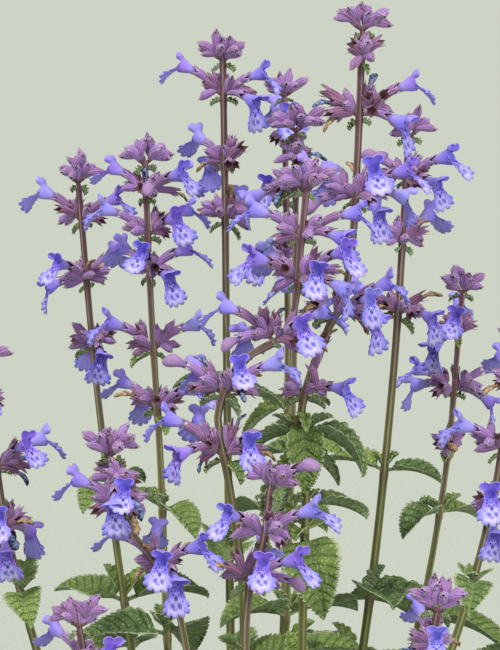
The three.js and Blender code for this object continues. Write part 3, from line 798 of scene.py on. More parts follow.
def stemPiece(name, stem, path, low, high, knots, taper):
    turn = math.radians(stem["turn"] + 45)
    side = np.array([math.cos(turn), math.sin(turn), 0.0])
    rings, places, kinds = [], [], []
    top = stem["points"][-1][2]
    for height in stemStations(low, high, knots):
        middle = pointAt(path, height)
        ahead, behind = pointAt(path, min(height + 1, top - 0.01)), pointAt(path, height - 1)
        u = unit(ahead - behind)
        v = unit(side - u * np.dot(side, u))
        side = v
        w = np.cross(u, v)
        grown = (height - rootFoot) / (top - rootFoot)
        width = stemLook["foot"] + (stemLook["top"] - stemLook["foot"]) * grown
        swell = max([math.exp(-((height - knot) / stemLook["knotReach"]) ** 2) for knot in knots] + [0])
        close = min(1, (high - height + 0.5) / 3) if taper else 1
        ringPoints, ringPlaces = [], []
        for angle in circle(stemLook["segments"]):
            corner = (1 - math.cos(4 * angle)) / 2
            relief = stemLook["groove"] * corner + stemLook["knot"] * swell * (1 - 0.5 * corner)
            radius = width / 2 * (stemLook["core"] + relief) * close
            ringPoints.append((middle + (v * math.cos(angle) + w * math.sin(angle)) * radius) * metres)
            ringPlaces.append((height, corner, angle))
        rings.append(ringPoints)
        places.append(ringPlaces)
        kinds.append([(grown, swell, 0)] * len(ringPoints))
    if taper:
        rings.append([pointAt(path, high) * metres])
        places.append([(high, 1, 0)])
        kinds.append([(1, 0, 0)])
    mesh = newMesh(name, loft(rings, places, kinds))
    mesh.set_sharp_from_angle(angle=math.radians(stemLook["sharp"]))
    mesh.materials.append(stemSkin)
    return addObject(name, mesh)


# A calyx stands along its own u: a ribbed tube bowed like a finger, with five teeth and a hollow mouth.
# It is drawn for a length of one in u and for millimetres across; each level is a share and a radius,
# and cuts are how long the teeth and how deep the hollow is, as shares of its length.
calyxLook = dict(teeth=5, hairLength=0.42, hairWidth=0.045, bow=0.75, oblique=0.07)
calyxLook.update(cuts=dict(fresh=(0.26, 0.3), spent=(0.26, 0.3), closed=(0.14, 0.08)))
calyxLook.update(
    fresh=((-0.04, 0.3), (0.05, 0.52), (0.22, 0.8), (0.45, 0.96), (0.66, 1.08), (0.8, 1.16), (1.0, 1.3)),
    spent=((-0.04, 0.34), (0.05, 0.66), (0.22, 1.05), (0.45, 1.22), (0.66, 1.16), (0.8, 1.18), (1.0, 1.55)),
    closed=((-0.04, 0.3), (0.05, 0.56), (0.22, 0.94), (0.45, 1.18), (0.66, 1.28), (0.84, 1.14), (1.0, 0.34)),
)


def calyxTemplate(name, levels, teeth, depth, perTooth=4, hairCount=30):
    segments, bow = calyxLook["teeth"] * perTooth, calyxLook["bow"]
    angles = circle(segments)
    tooth = [(abs((i / perTooth + 0.5) % 1 - 0.5) * 2) ** 1.4 for i in range(segments)]

    def skin(share, radius, angle):
        arch = bow * math.sin(math.pi * min(max(share, 0), 1))
        return share, radius * math.sin(angle), radius * math.cos(angle) + arch

    rings, places, kinds = [], [], []
    for share, radius in levels:
        last = share > 0.9
        ringPoints = []
        for i, angle in enumerate(angles):
            reach = max(0, share - 0.5) * 2
            cut = teeth * (1 - tooth[i]) * (1 if last else 0.35 * reach)
            along = share - cut + calyxLook["oblique"] * reach * math.cos(angle)
            out = radius + (0.1 * (i % 2) if share > 0 and perTooth > 2 else 0)
            ringPoints.append(skin(along, out * (0.9 if last and tooth[i] < 0.5 else 1), angle))
        rings.append(ringPoints)
        places.append([(math.sin(angle), math.cos(angle), 0) for angle in angles])
        kinds.append([(share, 0, 0)] * segments)
    middle = bow * math.sin(math.pi * 0.75)
    rings.append([(x - 0.02, y * 0.88, (z - middle * 0.3) * 0.88 + middle * 0.3) for x, y, z in rings[-1]])
    rings.append([skin(1 - teeth - depth * 0.5, 0.8, angle) for angle in angles])
    rings.append([skin(1 - teeth - depth, 0, 0)])
    places += [[(0, 1, 1)] * segments, [(0, 1, 1)] * segments, [(0, 1, 1)]]
    kinds += [[(1, 1, 0)] * segments, [(0.6, 1, 0)] * segments, [(0.4, 1, 0)]]
    bm = loft(rings, places, kinds)
    draws = random.Random(len(name) * 31)
    points, directions = [], []
    for number in range(hairCount):
        atMouth = number % 3 == 0
        share, angle = 1.0 if atMouth else draws.uniform(0.05, 1.0), draws.uniform(0, 2 * math.pi)
        radius = np.interp(share, [level[0] for level in levels], [level[1] for level in levels])
        x, y, z = skin(min(share, 1 - teeth * 0.6), radius, angle)
        points.append((x * calyx["length"], y, z))
        ahead = draws.uniform(0.8, 2) if atMouth else draws.uniform(-0.2, 0.9)
        directions.append(unit(np.array([ahead, math.sin(angle), math.cos(angle)])))
    hairs = newBmesh()
    addHairs(hairs, points, directions, calyxLook["hairLength"], calyxLook["hairWidth"])
    bmesh.ops.scale(hairs, vec=(1 / calyx["length"], 1, 1), verts=hairs.verts)
    spare = bpy.data.meshes.new("hairs")
    hairs.to_mesh(spare)
    hairs.free()
    bm.from_mesh(spare)
    return newMesh(name, bm)


# An open corolla along its bowed u: a tube that widens to the mouth, an upper lip of two broad lobes
# spread like a hat, low cheeks, a hump that closes the throat and a wide cupped lower lip with a fringe.
# The upper lobes and the cheeks end at so many degrees from the top of the mouth.
petalLook = dict(teeth=8, perTooth=4, lipRings=6, waistRing=2, skin=0.18, upper=58, sides=98, hump=1.0)
petalLook.update(above=(5, 12, 19, 26, 33, 40, 47, 53, 58, 68, 78, 88, 98), crest=4, notch=0.72)
tubeLevels = ((0.2, 0.75, 0.8, 0.1), (1.6, 0.95, 1.15, 0.05), (3.3, 1.28, 1.75, -0.1), (4.3, 1.4, 2.0, -0.2))


# A turn on the lower lip, as its share of the way from the middle to either side
def lowerShare(turn):
    return (turn - math.copysign(180, turn)) / (180 - petalLook["sides"])


def lipEnd(turn, look, fringed):
    sign, size = (1 if turn >= 0 else -1), abs(turn)
    if size < petalLook["crest"]:
        return [6.3, 0, look["lift"] - 0.45]
    if size < petalLook["upper"]:
        a = size / petalLook["upper"]
        phi = math.radians(130 - 225 * a)
        wide, high = 1.25 + 1.35 * math.cos(phi), look["lift"] - 1 + 0.95 * math.sin(phi)
        return [6.7 - 1.1 * a * a, sign * wide, high]
    if size < petalLook["sides"]:
        cheek = (petalLook["upper"] + petalLook["sides"]) / 2
        a = (size - cheek) / (petalLook["sides"] - cheek)
        return [4.95, sign * (1.6 - 0.2 * a * a), -0.35 - 0.8 * a]
    a = lowerShare(turn)
    around = -2.55 * a
    notch = 1 - abs(math.cos(petalLook["teeth"] / 2 * math.pi * a)) ** 0.6
    fringe = 1.03 - 0.26 * fringed * notch * (1 - 0.5 * abs(a))
    wide, drop = look["spread"] * math.sin(around), -4.65 - 2.45 * math.cos(around)
    return [5.3 - look["lean"] * (drop + 2.4) / 4.7, wide * fringe, -3.9 + (drop + 3.9) * fringe]


# The lower lip rises from the mouth over a hump, narrows to a waist and then spreads as a fan
def lowerLip(level, a, start, end):
    waist = (5.1, -0.95 * math.sin(math.pi / 2 * a), -2.3 - 0.35 * (1 - a * a))
    ringsBelow = petalLook["lipRings"] - petalLook["waistRing"]
    if level <= petalLook["waistRing"]:
        share = level / petalLook["waistRing"]
        hump = petalLook["hump"] * math.sin(math.pi * share * 0.8) * math.exp(-(a / 0.6) ** 2)
        return tuple(s + (e - s) * share + up for s, e, up in zip(start, waist, (0.25 * hump, 0, hump)))
    share = (level - petalLook["waistRing"]) / ringsBelow
    frill = 0.26 * math.cos(petalLook["teeth"] * math.pi * a)
    cup = share ** 2 * (1.15 * (end[1] / 3.2) ** 2 + frill) + 0.4 * math.sin(math.pi * share)
    return tuple(s + (e - s) * share + add for s, e, add in zip(waist, end, (cup, 0, 0)))


def corollaRings(look):
    sides, above, lipRings = petalLook["sides"], petalLook["above"], petalLook["lipRings"]
    below = petalLook["teeth"] * petalLook["perTooth"]
    turns = [0.0, *above] + [sides + (360 - 2 * sides) * (i + 1) / below for i in range(below - 1)]
    turns = [turn if turn <= 180 else turn - 360 for turn in turns] + [-turn for turn in reversed(above)]
    bearings = [math.radians(turn) for turn in turns]
    rings, shares = [], []
    for u, wide, tall, drop in tubeLevels:
        rings.append([(u, wide * math.sin(a), drop + tall * math.cos(a)) for a in bearings])
        shares.append([u / tubeLevels[-1][0]] * len(turns))
    starts = rings[-1]
    for level in range(1, lipRings + 1):
        share = level / lipRings
        points = []
        for turn, start in zip(turns, starts):
            cuts = (petalLook["upper"], sides) if abs(turn) <= sides else ()
            cut = sum(math.exp(-((abs(turn) - middle) / 5) ** 2) for middle in cuts)
            notch = 1 - petalLook["notch"] * cut
            end = [s + (e - s) * notch for s, e in zip(start, lipEnd(turn, look, share ** 3))]
            if abs(turn) > sides:
                points.append(lowerLip(level, lowerShare(turn), start, end))
            else:
                arch = (0, 0, 0.3 * math.sin(math.pi * share))
                points.append(tuple(s + (e - s) * share + up for s, e, up in zip(start, end, arch)))
        rings.append(points)
        shares.append([1 + share] * len(turns))
    return np.array(rings), shares


def corollaTemplate(name, look):
    outer, shares = corollaRings(look)
    along = np.gradient(outer, axis=0)
    around = np.roll(outer, -1, axis=1) - np.roll(outer, 1, axis=1)
    normal = np.cross(around, along)
    normal /= np.linalg.norm(normal, axis=2, keepdims=True)
    middle = outer.mean(axis=1, keepdims=True)
    if np.sum(normal[1] * (outer[1] - middle[1])) < 0:
        normal = -normal
    inner = (outer - normal * petalLook["skin"])[:1:-1]
    deep = [(tubeLevels[2][0] - 0.4, 0, -0.1)]
    rings = list(outer) + list(inner) + [deep]
    places = [[tuple(point) for point in one] for one in rings]
    kinds = [[(share, 0, 0) for share in one] for one in shares]
    kinds += [[(share, 1, 0) for share in one] for one in shares[:1:-1]] + [[(0.6, 1, 0)]]
    return newMesh(name, loft(rings, places, kinds))


# The rings of a limp pod from its places and radii: it droops past one place, and each ring is folded
def podRings(levels, segments, droop, past, wide, tall, fold):
    rings = []
    for along, radius in levels:
        drop = -droop * max(0, along - past) ** 2
        points = []
        for angle in circle(segments):
            out = radius * fold(angle)
            points.append((along, out * math.sin(angle) * wide, drop + out * math.cos(angle) * tall))
        rings.append(points if radius else points[:1])
    return rings


# A corolla still in bud is a slender tube with a plump folded knob that nods a little
budLook = dict(segments=14, droop=0.09, past=2, wide=0.86, tall=1, hairLength=0.34, hairWidth=0.045)
budLook.update(
    levels=(
        (0.2, 0.65), (1.1, 0.85), (2.0, 1.15), (2.8, 1.5), (3.6, 1.72), (4.4, 1.6), (5.1, 1.15), (5.5, 0.6),
        (5.6, 0),
    ),
)


def budTemplate(name):
    form = [budLook[key] for key in ("levels", "segments", "droop", "past", "wide", "tall")]
    rings = podRings(*form, lambda angle: 1 - 0.14 * math.exp(-((math.pi - angle) / 0.4) ** 2))
    kinds = [[(one[0][0] / rings[-1][0][0], 0, 0)] * len(one) for one in rings]
    bm = loft(rings, None, kinds)
    points = [point for points in rings[2:-1] for point in points[::2]]
    directions = [unit(np.array([0.35, point[1], point[2]])) for point in points]
    addHairs(bm, points, directions, budLook["hairLength"], budLook["hairWidth"])
    return newMesh(name, bm)


# A shrivelled corolla, limp and creased, still hangs in some spent calyces
driedLook = dict(segments=10, droop=0.16, past=0, wide=1, tall=0.7, creases=(0.45, 1.15))
driedLook.update(
    levels=(
        (-1.6, 0.7), (-0.4, 0.8), (0.7, 0.75), (1.6, 1.05), (2.4, 1.45), (3.1, 1.4), (3.7, 0.9), (4.0, 0),
    ),
)


def driedTemplate(name):
    draws = random.Random(5)
    form = [driedLook[key] for key in ("levels", "segments", "droop", "past", "wide", "tall")]
    return newMesh(name, loft(podRings(*form, lambda angle: draws.uniform(*driedLook["creases"]))))


# Materials. Each is worked out from where a point lies on its own leaf, petal or stem, in millimetres,
# and the clay and the compost from where they lie in the pot.
def colour(code):
    parts = [int(code[i:i + 2], 16) / 255 for i in (1, 3, 5)]
    return tuple(((c + 0.055) / 1.055) ** 2.4 if c > 0.04045 else c / 12.92 for c in parts) + (1,)


# A node with its settings and its inputs in order. A socket is linked, a hex code is a colour, and None
# leaves an input alone. It gives back the first output that the settings leave in use.
def addNode(tree, kind, *inputs, **settings):
    node = tree.nodes.new("ShaderNode" + kind)
    for name, value in settings.items():
        setattr(node, name, value)
    for socket, value in zip([socket for socket in node.inputs if socket.enabled], inputs):
        if isinstance(value, bpy.types.NodeSocket):
            tree.links.new(value, socket)
        elif value is not None:
            socket.default_value = colour(value) if isinstance(value, str) else value
    return next(socket for socket in node.outputs if socket.enabled)


# The settings that are used most
smooth = dict(interpolation_type="SMOOTHSTEP")
times, greater = dict(operation="MULTIPLY"), dict(operation="MAXIMUM")


# Coats over a base: each covers from nothing, where its value is at low, to its strength, at high. It
# grows evenly from 0 to 1, and softly between other limits.
def painted(tree, skin, *coats):
    for value, low, high, strength, over in coats:
        curve = {} if (low, high) == (0, 1) else smooth
        cover = addNode(tree, "MapRange", value, low, high, 0, strength, **curve)
        skin = addNode(tree, "Mix", cover, skin, over, data_type="RGBA")
    return skin


def newMaterial(name, roughness, specular):
    material = bpy.data.materials.new(name)
    material.use_nodes = True
    tree = material.node_tree
    shader = tree.nodes["Principled BSDF"]
    shader.inputs["Roughness"].default_value = roughness
    shader.inputs["Specular IOR Level"].default_value = specular
    return material, tree


# What each point carries: a layer as a vector, and that vector's three parts
def carried(tree, layer):
    vector = addNode(tree, "Attribute", attribute_name=layer).node.outputs["Vector"]
    return vector, addNode(tree, "SeparateXYZ", vector).node.outputs


# The shader takes the colour, and a relief that is depth millimetres high
def finished(material, skin, relief=None, depth=0):
    tree = material.node_tree
    shader = tree.nodes["Principled BSDF"]
    tree.links.new(skin, shader.inputs["Base Color"])
    if depth:
        tree.links.new(addNode(tree, "Bump", 1, depth * metres, None, relief), shader.inputs["Normal"])
    return material


# Catmint leaf: grey green and dull, with painted shade in its net of sunken veins and a painted highlight on
# the puffs between them, pale downy margins and a paler underside; the youngest leaves are yellow green.
# The net is drawn twice as coarse as it is.
leafPaint = dict(net=1.053, mottle=3.33, down=0.25)


def leafMaterial():
    material, tree = newMaterial("catmint leaf", 0.6, 0.3)
    along, side, under = carried(tree, "place")[1]
    edge, lateral, tint = carried(tree, "kind")[1]
    flat = addNode(tree, "CombineXYZ", along, side)
    wave = addNode(tree, "Math", addNode(tree, "Math", lateral, 2, **times), 1, operation="PINGPONG")
    vein = addNode(tree, "MapRange", wave, 0.34, 0.04, **smooth)
    rib = addNode(tree, "MapRange", addNode(tree, "Math", side, operation="ABSOLUTE"), 0.4, 0.16, **smooth)
    cells = addNode(tree, "TexVoronoi", flat, 1 / leafPaint["net"], feature="DISTANCE_TO_EDGE")
    net = addNode(tree, "MapRange", cells, 0.2, 0.02, 0, 0.7, **smooth)
    furrowShade = addNode(tree, "Math", vein, net, **greater)
    puffed = addNode(tree, "MapRange", cells, 0.02, 0.34, **smooth)
    mottle = addNode(tree, "TexNoise", flat, 1 / leafPaint["mottle"], 4)
    young = painted(tree, "#93ad4c", (mottle, 0.3, 0.7, 1, "#b8ca6c"))
    sunk = painted(tree, "#2d4524", (tint, 0, 1, 1, "#5f7a34"))
    # The sunken veins and net are painted darker as shade, and the puffs lighter as a painted highlight
    top = painted(
        tree, "#5b7743", (mottle, 0.35, 0.7, 1, "#7f9a58"), (tint, 0, 1, 1, young),
        (puffed, 0, 1, 0.3, "#a7bb80"), (furrowShade, 0, 1, 0.75, sunk), (rib, 0, 1, 0.55, "#93aa6a"),
        (edge, 0.84, 1, 0.85, "#c9d3a2"),
    )
    veins = addNode(tree, "Math", vein, rib, **greater)
    below = painted(tree, "#8aa173", (veins, 0, 1, 1, "#b3c197"), (cells, 0.2, 0.02, 0.35, "#a5b68a"))
    skin = painted(tree, top, (under, 0.3, 0.7, 1, below))
    down = addNode(tree, "TexNoise", flat, 1 / leafPaint["down"], 2)
    relief = addNode(tree, "Math", vein, -0.8, puffed, operation="MULTIPLY_ADD")
    relief = addNode(tree, "Math", down, 0.3, relief, operation="MULTIPLY_ADD")
    return finished(material, skin, relief, 0.3)


# Stem skin: olive below and purple brown above, with painted shade in its grooves and a painted highlight
# along its four ridges, and fine streaks that are so many millimetres long and wide on a rod of 1 mm radius
stemPaint = dict(streakLength=3.125, streakWidth=0.2083)


def stemMaterial():
    material, tree = newMaterial("catmint stem", 0.6, 0.3)
    height, ridged, angle = carried(tree, "place")[1]
    grown, swell, _ = carried(tree, "kind")[1]
    long = addNode(tree, "Math", height, 1 / stemPaint["streakLength"], **times)
    wide = addNode(tree, "Math", angle, 1 / stemPaint["streakWidth"], **times)
    grain = addNode(tree, "TexNoise", addNode(tree, "CombineXYZ", long, wide), 1, 3)
    purple = painted(tree, "#543640", (grain, 0, 1, 1, "#80606a"))
    ridgeHighlight = painted(tree, "#a9ab72", (grown, 0.5, 1, 1, "#c0a092"))
    # Painted shade darkens the grooves and a painted highlight lightens the four ridges
    skin = painted(
        tree, "#5f6534", (grain, 0, 1, 1, "#8c9253"), (grown, 0.5, 1, 1, purple),
        (ridged, 0.6, 0.1, 0.5, "#4a3a30"), (ridged, 0.6, 1, 0.6, ridgeHighlight), (swell, 0, 1, 0.35, "#6a3a4a"),
    )
    return finished(material, skin, grain, 0.12)


# Calyx skin: dusky mauve and woolly, with painted shade in the furrows between its ribs and a painted
# highlight on the ribs, greenish at the foot and maroon inside; pale round the mouth when fresh, mostly a
# painted rim light, and plum with a dull red mouth when spent
calyxPaint = dict(ribs=20, grain=2.38, sheen=0.6)


def calyxMaterial():
    material, tree = newMaterial("catmint calyx", 0.65, 0.25)
    sine, cosine, inside = carried(tree, "place")[1]
    share, _, tint = carried(tree, "kind")[1]
    around = addNode(tree, "Math", sine, cosine, operation="ARCTAN2")
    around = addNode(tree, "Math", around, calyxPaint["ribs"] / (2 * math.pi), **times)
    rib = addNode(tree, "Math", around, 1, operation="PINGPONG")
    here = addNode(tree, "TexCoord").node.outputs["Object"]
    grain = addNode(tree, "TexNoise", here, 1 / (calyxPaint["grain"] * metres), 3)
    spent = painted(tree, "#5e2b4a", (grain, 0, 1, 1, "#9a5c7a"))
    # Painted shade for the furrows between the ribs
    furrowShade = painted(tree, "#573058", (tint, 0, 1, 1, "#43202b"))
    # A pale painted rim light round a fresh mouth, and a dull red mouth on a spent one
    rimLightAndRedMouth = painted(tree, "#d2b2da", (tint, 0, 1, 1, "#7a4056"))
    hollow = painted(tree, "#3a1620", (grain, 0, 1, 1, "#683a38"))
    # The ribs also get a painted highlight
    skin = painted(
        tree, "#7a4e98", (grain, 0, 1, 1, "#ba90d4"), (tint, 0, 1, 1, spent), (rib, 0.5, 0, 0.34, furrowShade),
        (rib, 0.5, 1, 0.24, "#d8b6e0"), (share, 0.3, 0, 0.35, "#77744f"), (share, 0.72, 1, 0.55, rimLightAndRedMouth),
        (inside, 0, 1, 0.9, hollow),
    )
    shader = tree.nodes["Principled BSDF"]
    shader.inputs["Sheen Weight"].default_value = calyxPaint["sheen"]
    shader.inputs["Sheen Tint"].default_value = colour("#f3e6f5")
    return finished(material, skin, grain, 0.08)


# Corolla petal: thin and silky violet blue, with a paler lower lip, two diffuse blotches on it, and a
# pale throat with dark spots. Each mark is a place across and up the face, how far it reaches and how
# soft it is.
petalMarks = (
    (0.8, -4.4, 0.5, 0.36, "#453bb4"), (0.0, -2.9, 0.42, 0.16, "#2a1d80"), (0.3, -5.1, 0.16, 0.26, "#5a50cc"),
    (0.6, -2.2, 0.22, 0.1, "#2c2290"), (1.0, -1.6, 0.22, 0.1, "#2c2290"), (0.3, -1.5, 0.17, 0.1, "#2c2290"),
    (0.8, -0.8, 0.18, 0.1, "#2c2290"), (1.5, -3.4, 0.15, 0.14, "#463ab0"),
)
petalPaint = dict(cloud=1.25, veinWidth=0.303, veinLength=1.905, markStrength=0.85)


def petalMaterial():
    material, tree = newMaterial("catmint petal", 0.5, 0.25)
    place, (_, side, up) = carried(tree, "place")
    share, inside, tint = carried(tree, "kind")[1]
    off = addNode(tree, "Math", side, operation="ABSOLUTE")
    cloud = addNode(tree, "TexNoise", place, 1 / petalPaint["cloud"], 3)
    blue = painted(
        tree, "#7464da", (cloud, 0, 1, 1, "#9c90f5"), (tint, 0.5, 1, 0.7, "#a07ae6"),
        (tint, 0.35, 0, 0.6, "#b2b0fc"),
    )
    sunny = addNode(tree, "MapRange", up, 0.2, 2.2, 0, 0.45, **smooth)
    sunny = addNode(tree, "Math", sunny, addNode(tree, "Math", 1, inside, operation="SUBTRACT"), **times)
    tube = painted(tree, "#a693de", (share, 0.1, 0.9, 1, blue), (sunny, 0, 1, 1, "#b7a8f2"))
    across = addNode(tree, "Math", side, 1 / petalPaint["veinWidth"], **times)
    down = addNode(tree, "Math", up, 1 / petalPaint["veinLength"], **times)
    fan = addNode(tree, "TexNoise", addNode(tree, "CombineXYZ", across, down), 1, 2)
    outer = painted(tree, "#8a82e8", (fan, 0, 1, 1, "#b0a9f6"))
    face = painted(
        tree, "#b8acf2", (fan, 0.35, 0.65, 1, "#dad0fd"), (off, 1, 2.9, 0.85, "#8881ec"),
        (up, -5.6, -3, 0.35, "#8b85ee"), (share, 1.78, 2, 0.4, "#918bf0"),
    )
    lip = painted(tree, outer, (inside, 0, 1, 1, face))
    throat = addNode(tree, "MapRange", up, 0.4, -0.8, 0, 0.35, **smooth)
    for mask in (inside, addNode(tree, "MapRange", share, 1.5, 1.2, **smooth)):
        throat = addNode(tree, "Math", throat, mask, **times)
    shade = addNode(tree, "MapRange", share, 0.85, 0.6, 0, 0.5, **smooth)
    shade = addNode(tree, "Math", shade, inside, **times)
    skin = painted(
        tree, tube, (up, -2.2, -3.3, 1, lip), (throat, 0, 1, 1, "#c2bdf8"), (shade, 0, 1, 1, "#4a41a8"),
    )
    wander = addNode(tree, "Math", fan, 0.5, -0.25, operation="MULTIPLY_ADD")
    for middle, height, reach, soft, code in petalMarks:
        aside = addNode(tree, "Math", off, middle, operation="SUBTRACT")
        above = addNode(tree, "Math", up, 0.8, -0.8 * height, operation="MULTIPLY_ADD")
        gap = addNode(tree, "CombineXYZ", aside, above)
        near = addNode(tree, "VectorMath", gap, operation="LENGTH")
        near = addNode(tree, "Math", near, wander, operation="ADD")
        limits = (reach + soft, max(0.0, reach - soft), 0, petalPaint["markStrength"])
        mark = addNode(tree, "Math", addNode(tree, "MapRange", near, *limits, **smooth), inside, **times)
        skin = painted(tree, skin, (mark, 0, 1, 1, code))
    return finished(material, skin, fan, 0.1)


# Bud: a pinkish lavender knob under white down, mottled about every 0.7 mm
def budMaterial():
    material, tree = newMaterial("catmint bud", 0.6, 0.25)
    grain = addNode(tree, "TexNoise", carried(tree, "place")[0], 1 / 0.714, 3)
    share = carried(tree, "kind")[1]["X"]
    skin = painted(tree, "#8e6a9c", (grain, 0, 1, 1, "#b893c0"), (share, 0.55, 0.1, 1, "#8a68a8"))
    return finished(material, skin, grain, 0.1)


# Shrivelled petal: papery, either brown to straw or ink blue to pale blue, in patches of about 0.9 mm
def driedMaterial():
    material, tree = newMaterial("dried petal", 0.75, 0.2)
    grain = addNode(tree, "TexNoise", carried(tree, "place")[0], 1 / 0.909, 4)
    ink = painted(tree, "#1d2342", (grain, 0.4, 0.6, 1, "#8fa0c8"))
    tint = carried(tree, "kind")[1]["Z"]
    skin = painted(tree, "#7a5638", (grain, 0.35, 0.65, 1, "#cbb08a"), (tint, 0, 1, 1, ink))
    return finished(material, skin, grain, 0.2)


# White down: short stiff hairs on calyces and buds, drawn about three times as thick as they are
def hairMaterial():
    material, tree = newMaterial("white hair", 0.55, 0.3)
    tree.nodes["Principled BSDF"].inputs["Base Color"].default_value = colour("#efe6f2")
    return material


# Fired terracotta: matt orange brown clay with 45 mm clouds of pale lime bloom and 1 mm dark grit
def clayMaterial():
    material, tree = newMaterial("terracotta clay", 0.85, 0.25)
    here = addNode(tree, "TexCoord").node.outputs["Object"]
    broad = addNode(tree, "TexNoise", here, 1 / (45.45 * metres), 5)
    grit = addNode(tree, "TexNoise", here, 1 / (1.111 * metres), 2)
    skin = painted(
        tree, "#a9552f", (broad, 0.35, 0.7, 1, "#c06a41"), (broad, 0.56, 0.75, 0.5, "#d9a888"),
        (grit, 0.55, 0.7, 0.35, "#8a4527"),
    )
    return finished(material, skin, grit, 0.15)


# Potting compost: dark, fibrous and matt, with crumbs of 2.4 mm
def compostMaterial():
    material, tree = newMaterial("potting compost", 0.95, 0.15)
    here = addNode(tree, "TexCoord").node.outputs["Object"]
    crumbs = addNode(tree, "TexNoise", here, 1 / (2.381 * metres), 5)
    return finished(material, painted(tree, "#2a1c13", (crumbs, 0.35, 0.7, 1, "#5c412d")), crumbs, 1.0)


# Matt stuff in one colour with a 1.7 mm grain of its own darker shade: bark, perlite and the floor
def plainMaterial(name, code, roughness, specular=0.2):
    material, tree = newMaterial(name, roughness, specular)
    here = addNode(tree, "TexCoord").node.outputs["Object"]
    grain = addNode(tree, "TexNoise", here, 1 / (1.667 * metres), 3)
    shade = tuple(c * 0.7 for c in colour(code)[:3]) + (1,)
    return finished(material, painted(tree, shade, (grain, 0, 1, 1, code)))


leafGreen, stemSkin, calyxSkin = leafMaterial(), stemMaterial(), calyxMaterial()
petal, budSkin, driedPetal, whiteHair = petalMaterial(), budMaterial(), driedMaterial(), hairMaterial()
clay, compost = clayMaterial(), compostMaterial()
bark, perlite = plainMaterial("pine bark", "#6b4a33", 0.85), plainMaterial("perlite", "#e4dfd2", 0.8)
print("materials made")

# The pot: thrown terracotta with a thick rim, standing on a flat foot with a hole to drain
potLook = dict(turns=96, rimEdge=1.5, sharp=50)


def makePot():
    under = pot["height"] - pot["rimHeight"]
    foot, waist, rim, wall = pot["footRadius"], pot["waistRadius"], pot["rimRadius"], pot["wall"]
    top, floor, drain = pot["height"], pot["floor"], pot["drainRadius"]
    profile = [
        (drain, 0), (foot - 1, 0), (foot, 1), (waist, under - 0.2), (rim - potLook["rimEdge"], under + 1),
        (rim - 0.3, under + 2.2), (rim, under + 4), (rim, top - 3), (rim - 0.5, top - 1.2),
        (rim - 1.6, top - 0.2), (rim - wall + 0.8, top), (rim - wall, top - 1),
        (waist - wall + 1, under), (foot - wall, floor), (drain, floor),
    ]
    bm = newBmesh()
    verts = [bm.verts.new((radius * metres, 0, height * metres)) for radius, height in profile]
    edges = [bm.edges.new(pair) for pair in zip(verts, verts[1:] + verts[:1])]
    full = dict(axis=(0, 0, 1), cent=(0, 0, 0), angle=2 * math.pi, use_merge=True)
    bmesh.ops.spin(bm, geom=verts + edges, steps=potLook["turns"], **full)
    bmesh.ops.remove_doubles(bm, verts=bm.verts, dist=1e-6)
    piece = addObject("pot_clay", newMesh("pot", bm))
    piece.data.materials.append(clay)
    settle(piece, "pot")
    piece.data.set_sharp_from_angle(angle=math.radians(potLook["sharp"]))


makePot()
print("pot made")

# The compost fills the pot to below its rim: a crumbly crown with bits of bark and white perlite. Each
# kind of bit has a count, a least and a greatest size.
soilLook = dict(rings=26, segments=72, crumbs=(420, 1.0, 2.6), bark=(46, 2.2, 4.5), perlite=(60, 1.0, 2.0))
soilLook.update(chip=(1.7, 0.8, 0.45), rough=0.22, sharp=40)


# The height of the crown at a place, with lumps about 3 mm and 1 mm wide
def crownHeight(x, y, edge):
    share = min(1, math.hypot(x, y) / edge)
    lumps = noise.noise(Vector((x, y, 3)) * 0.35) * 0.8 + noise.noise(Vector((x, y, 9)) * 0.9) * 0.5
    return soil["top"] + soil["crown"] * (1 - share ** 2) + lumps * (1 - share ** 8) - 0.3


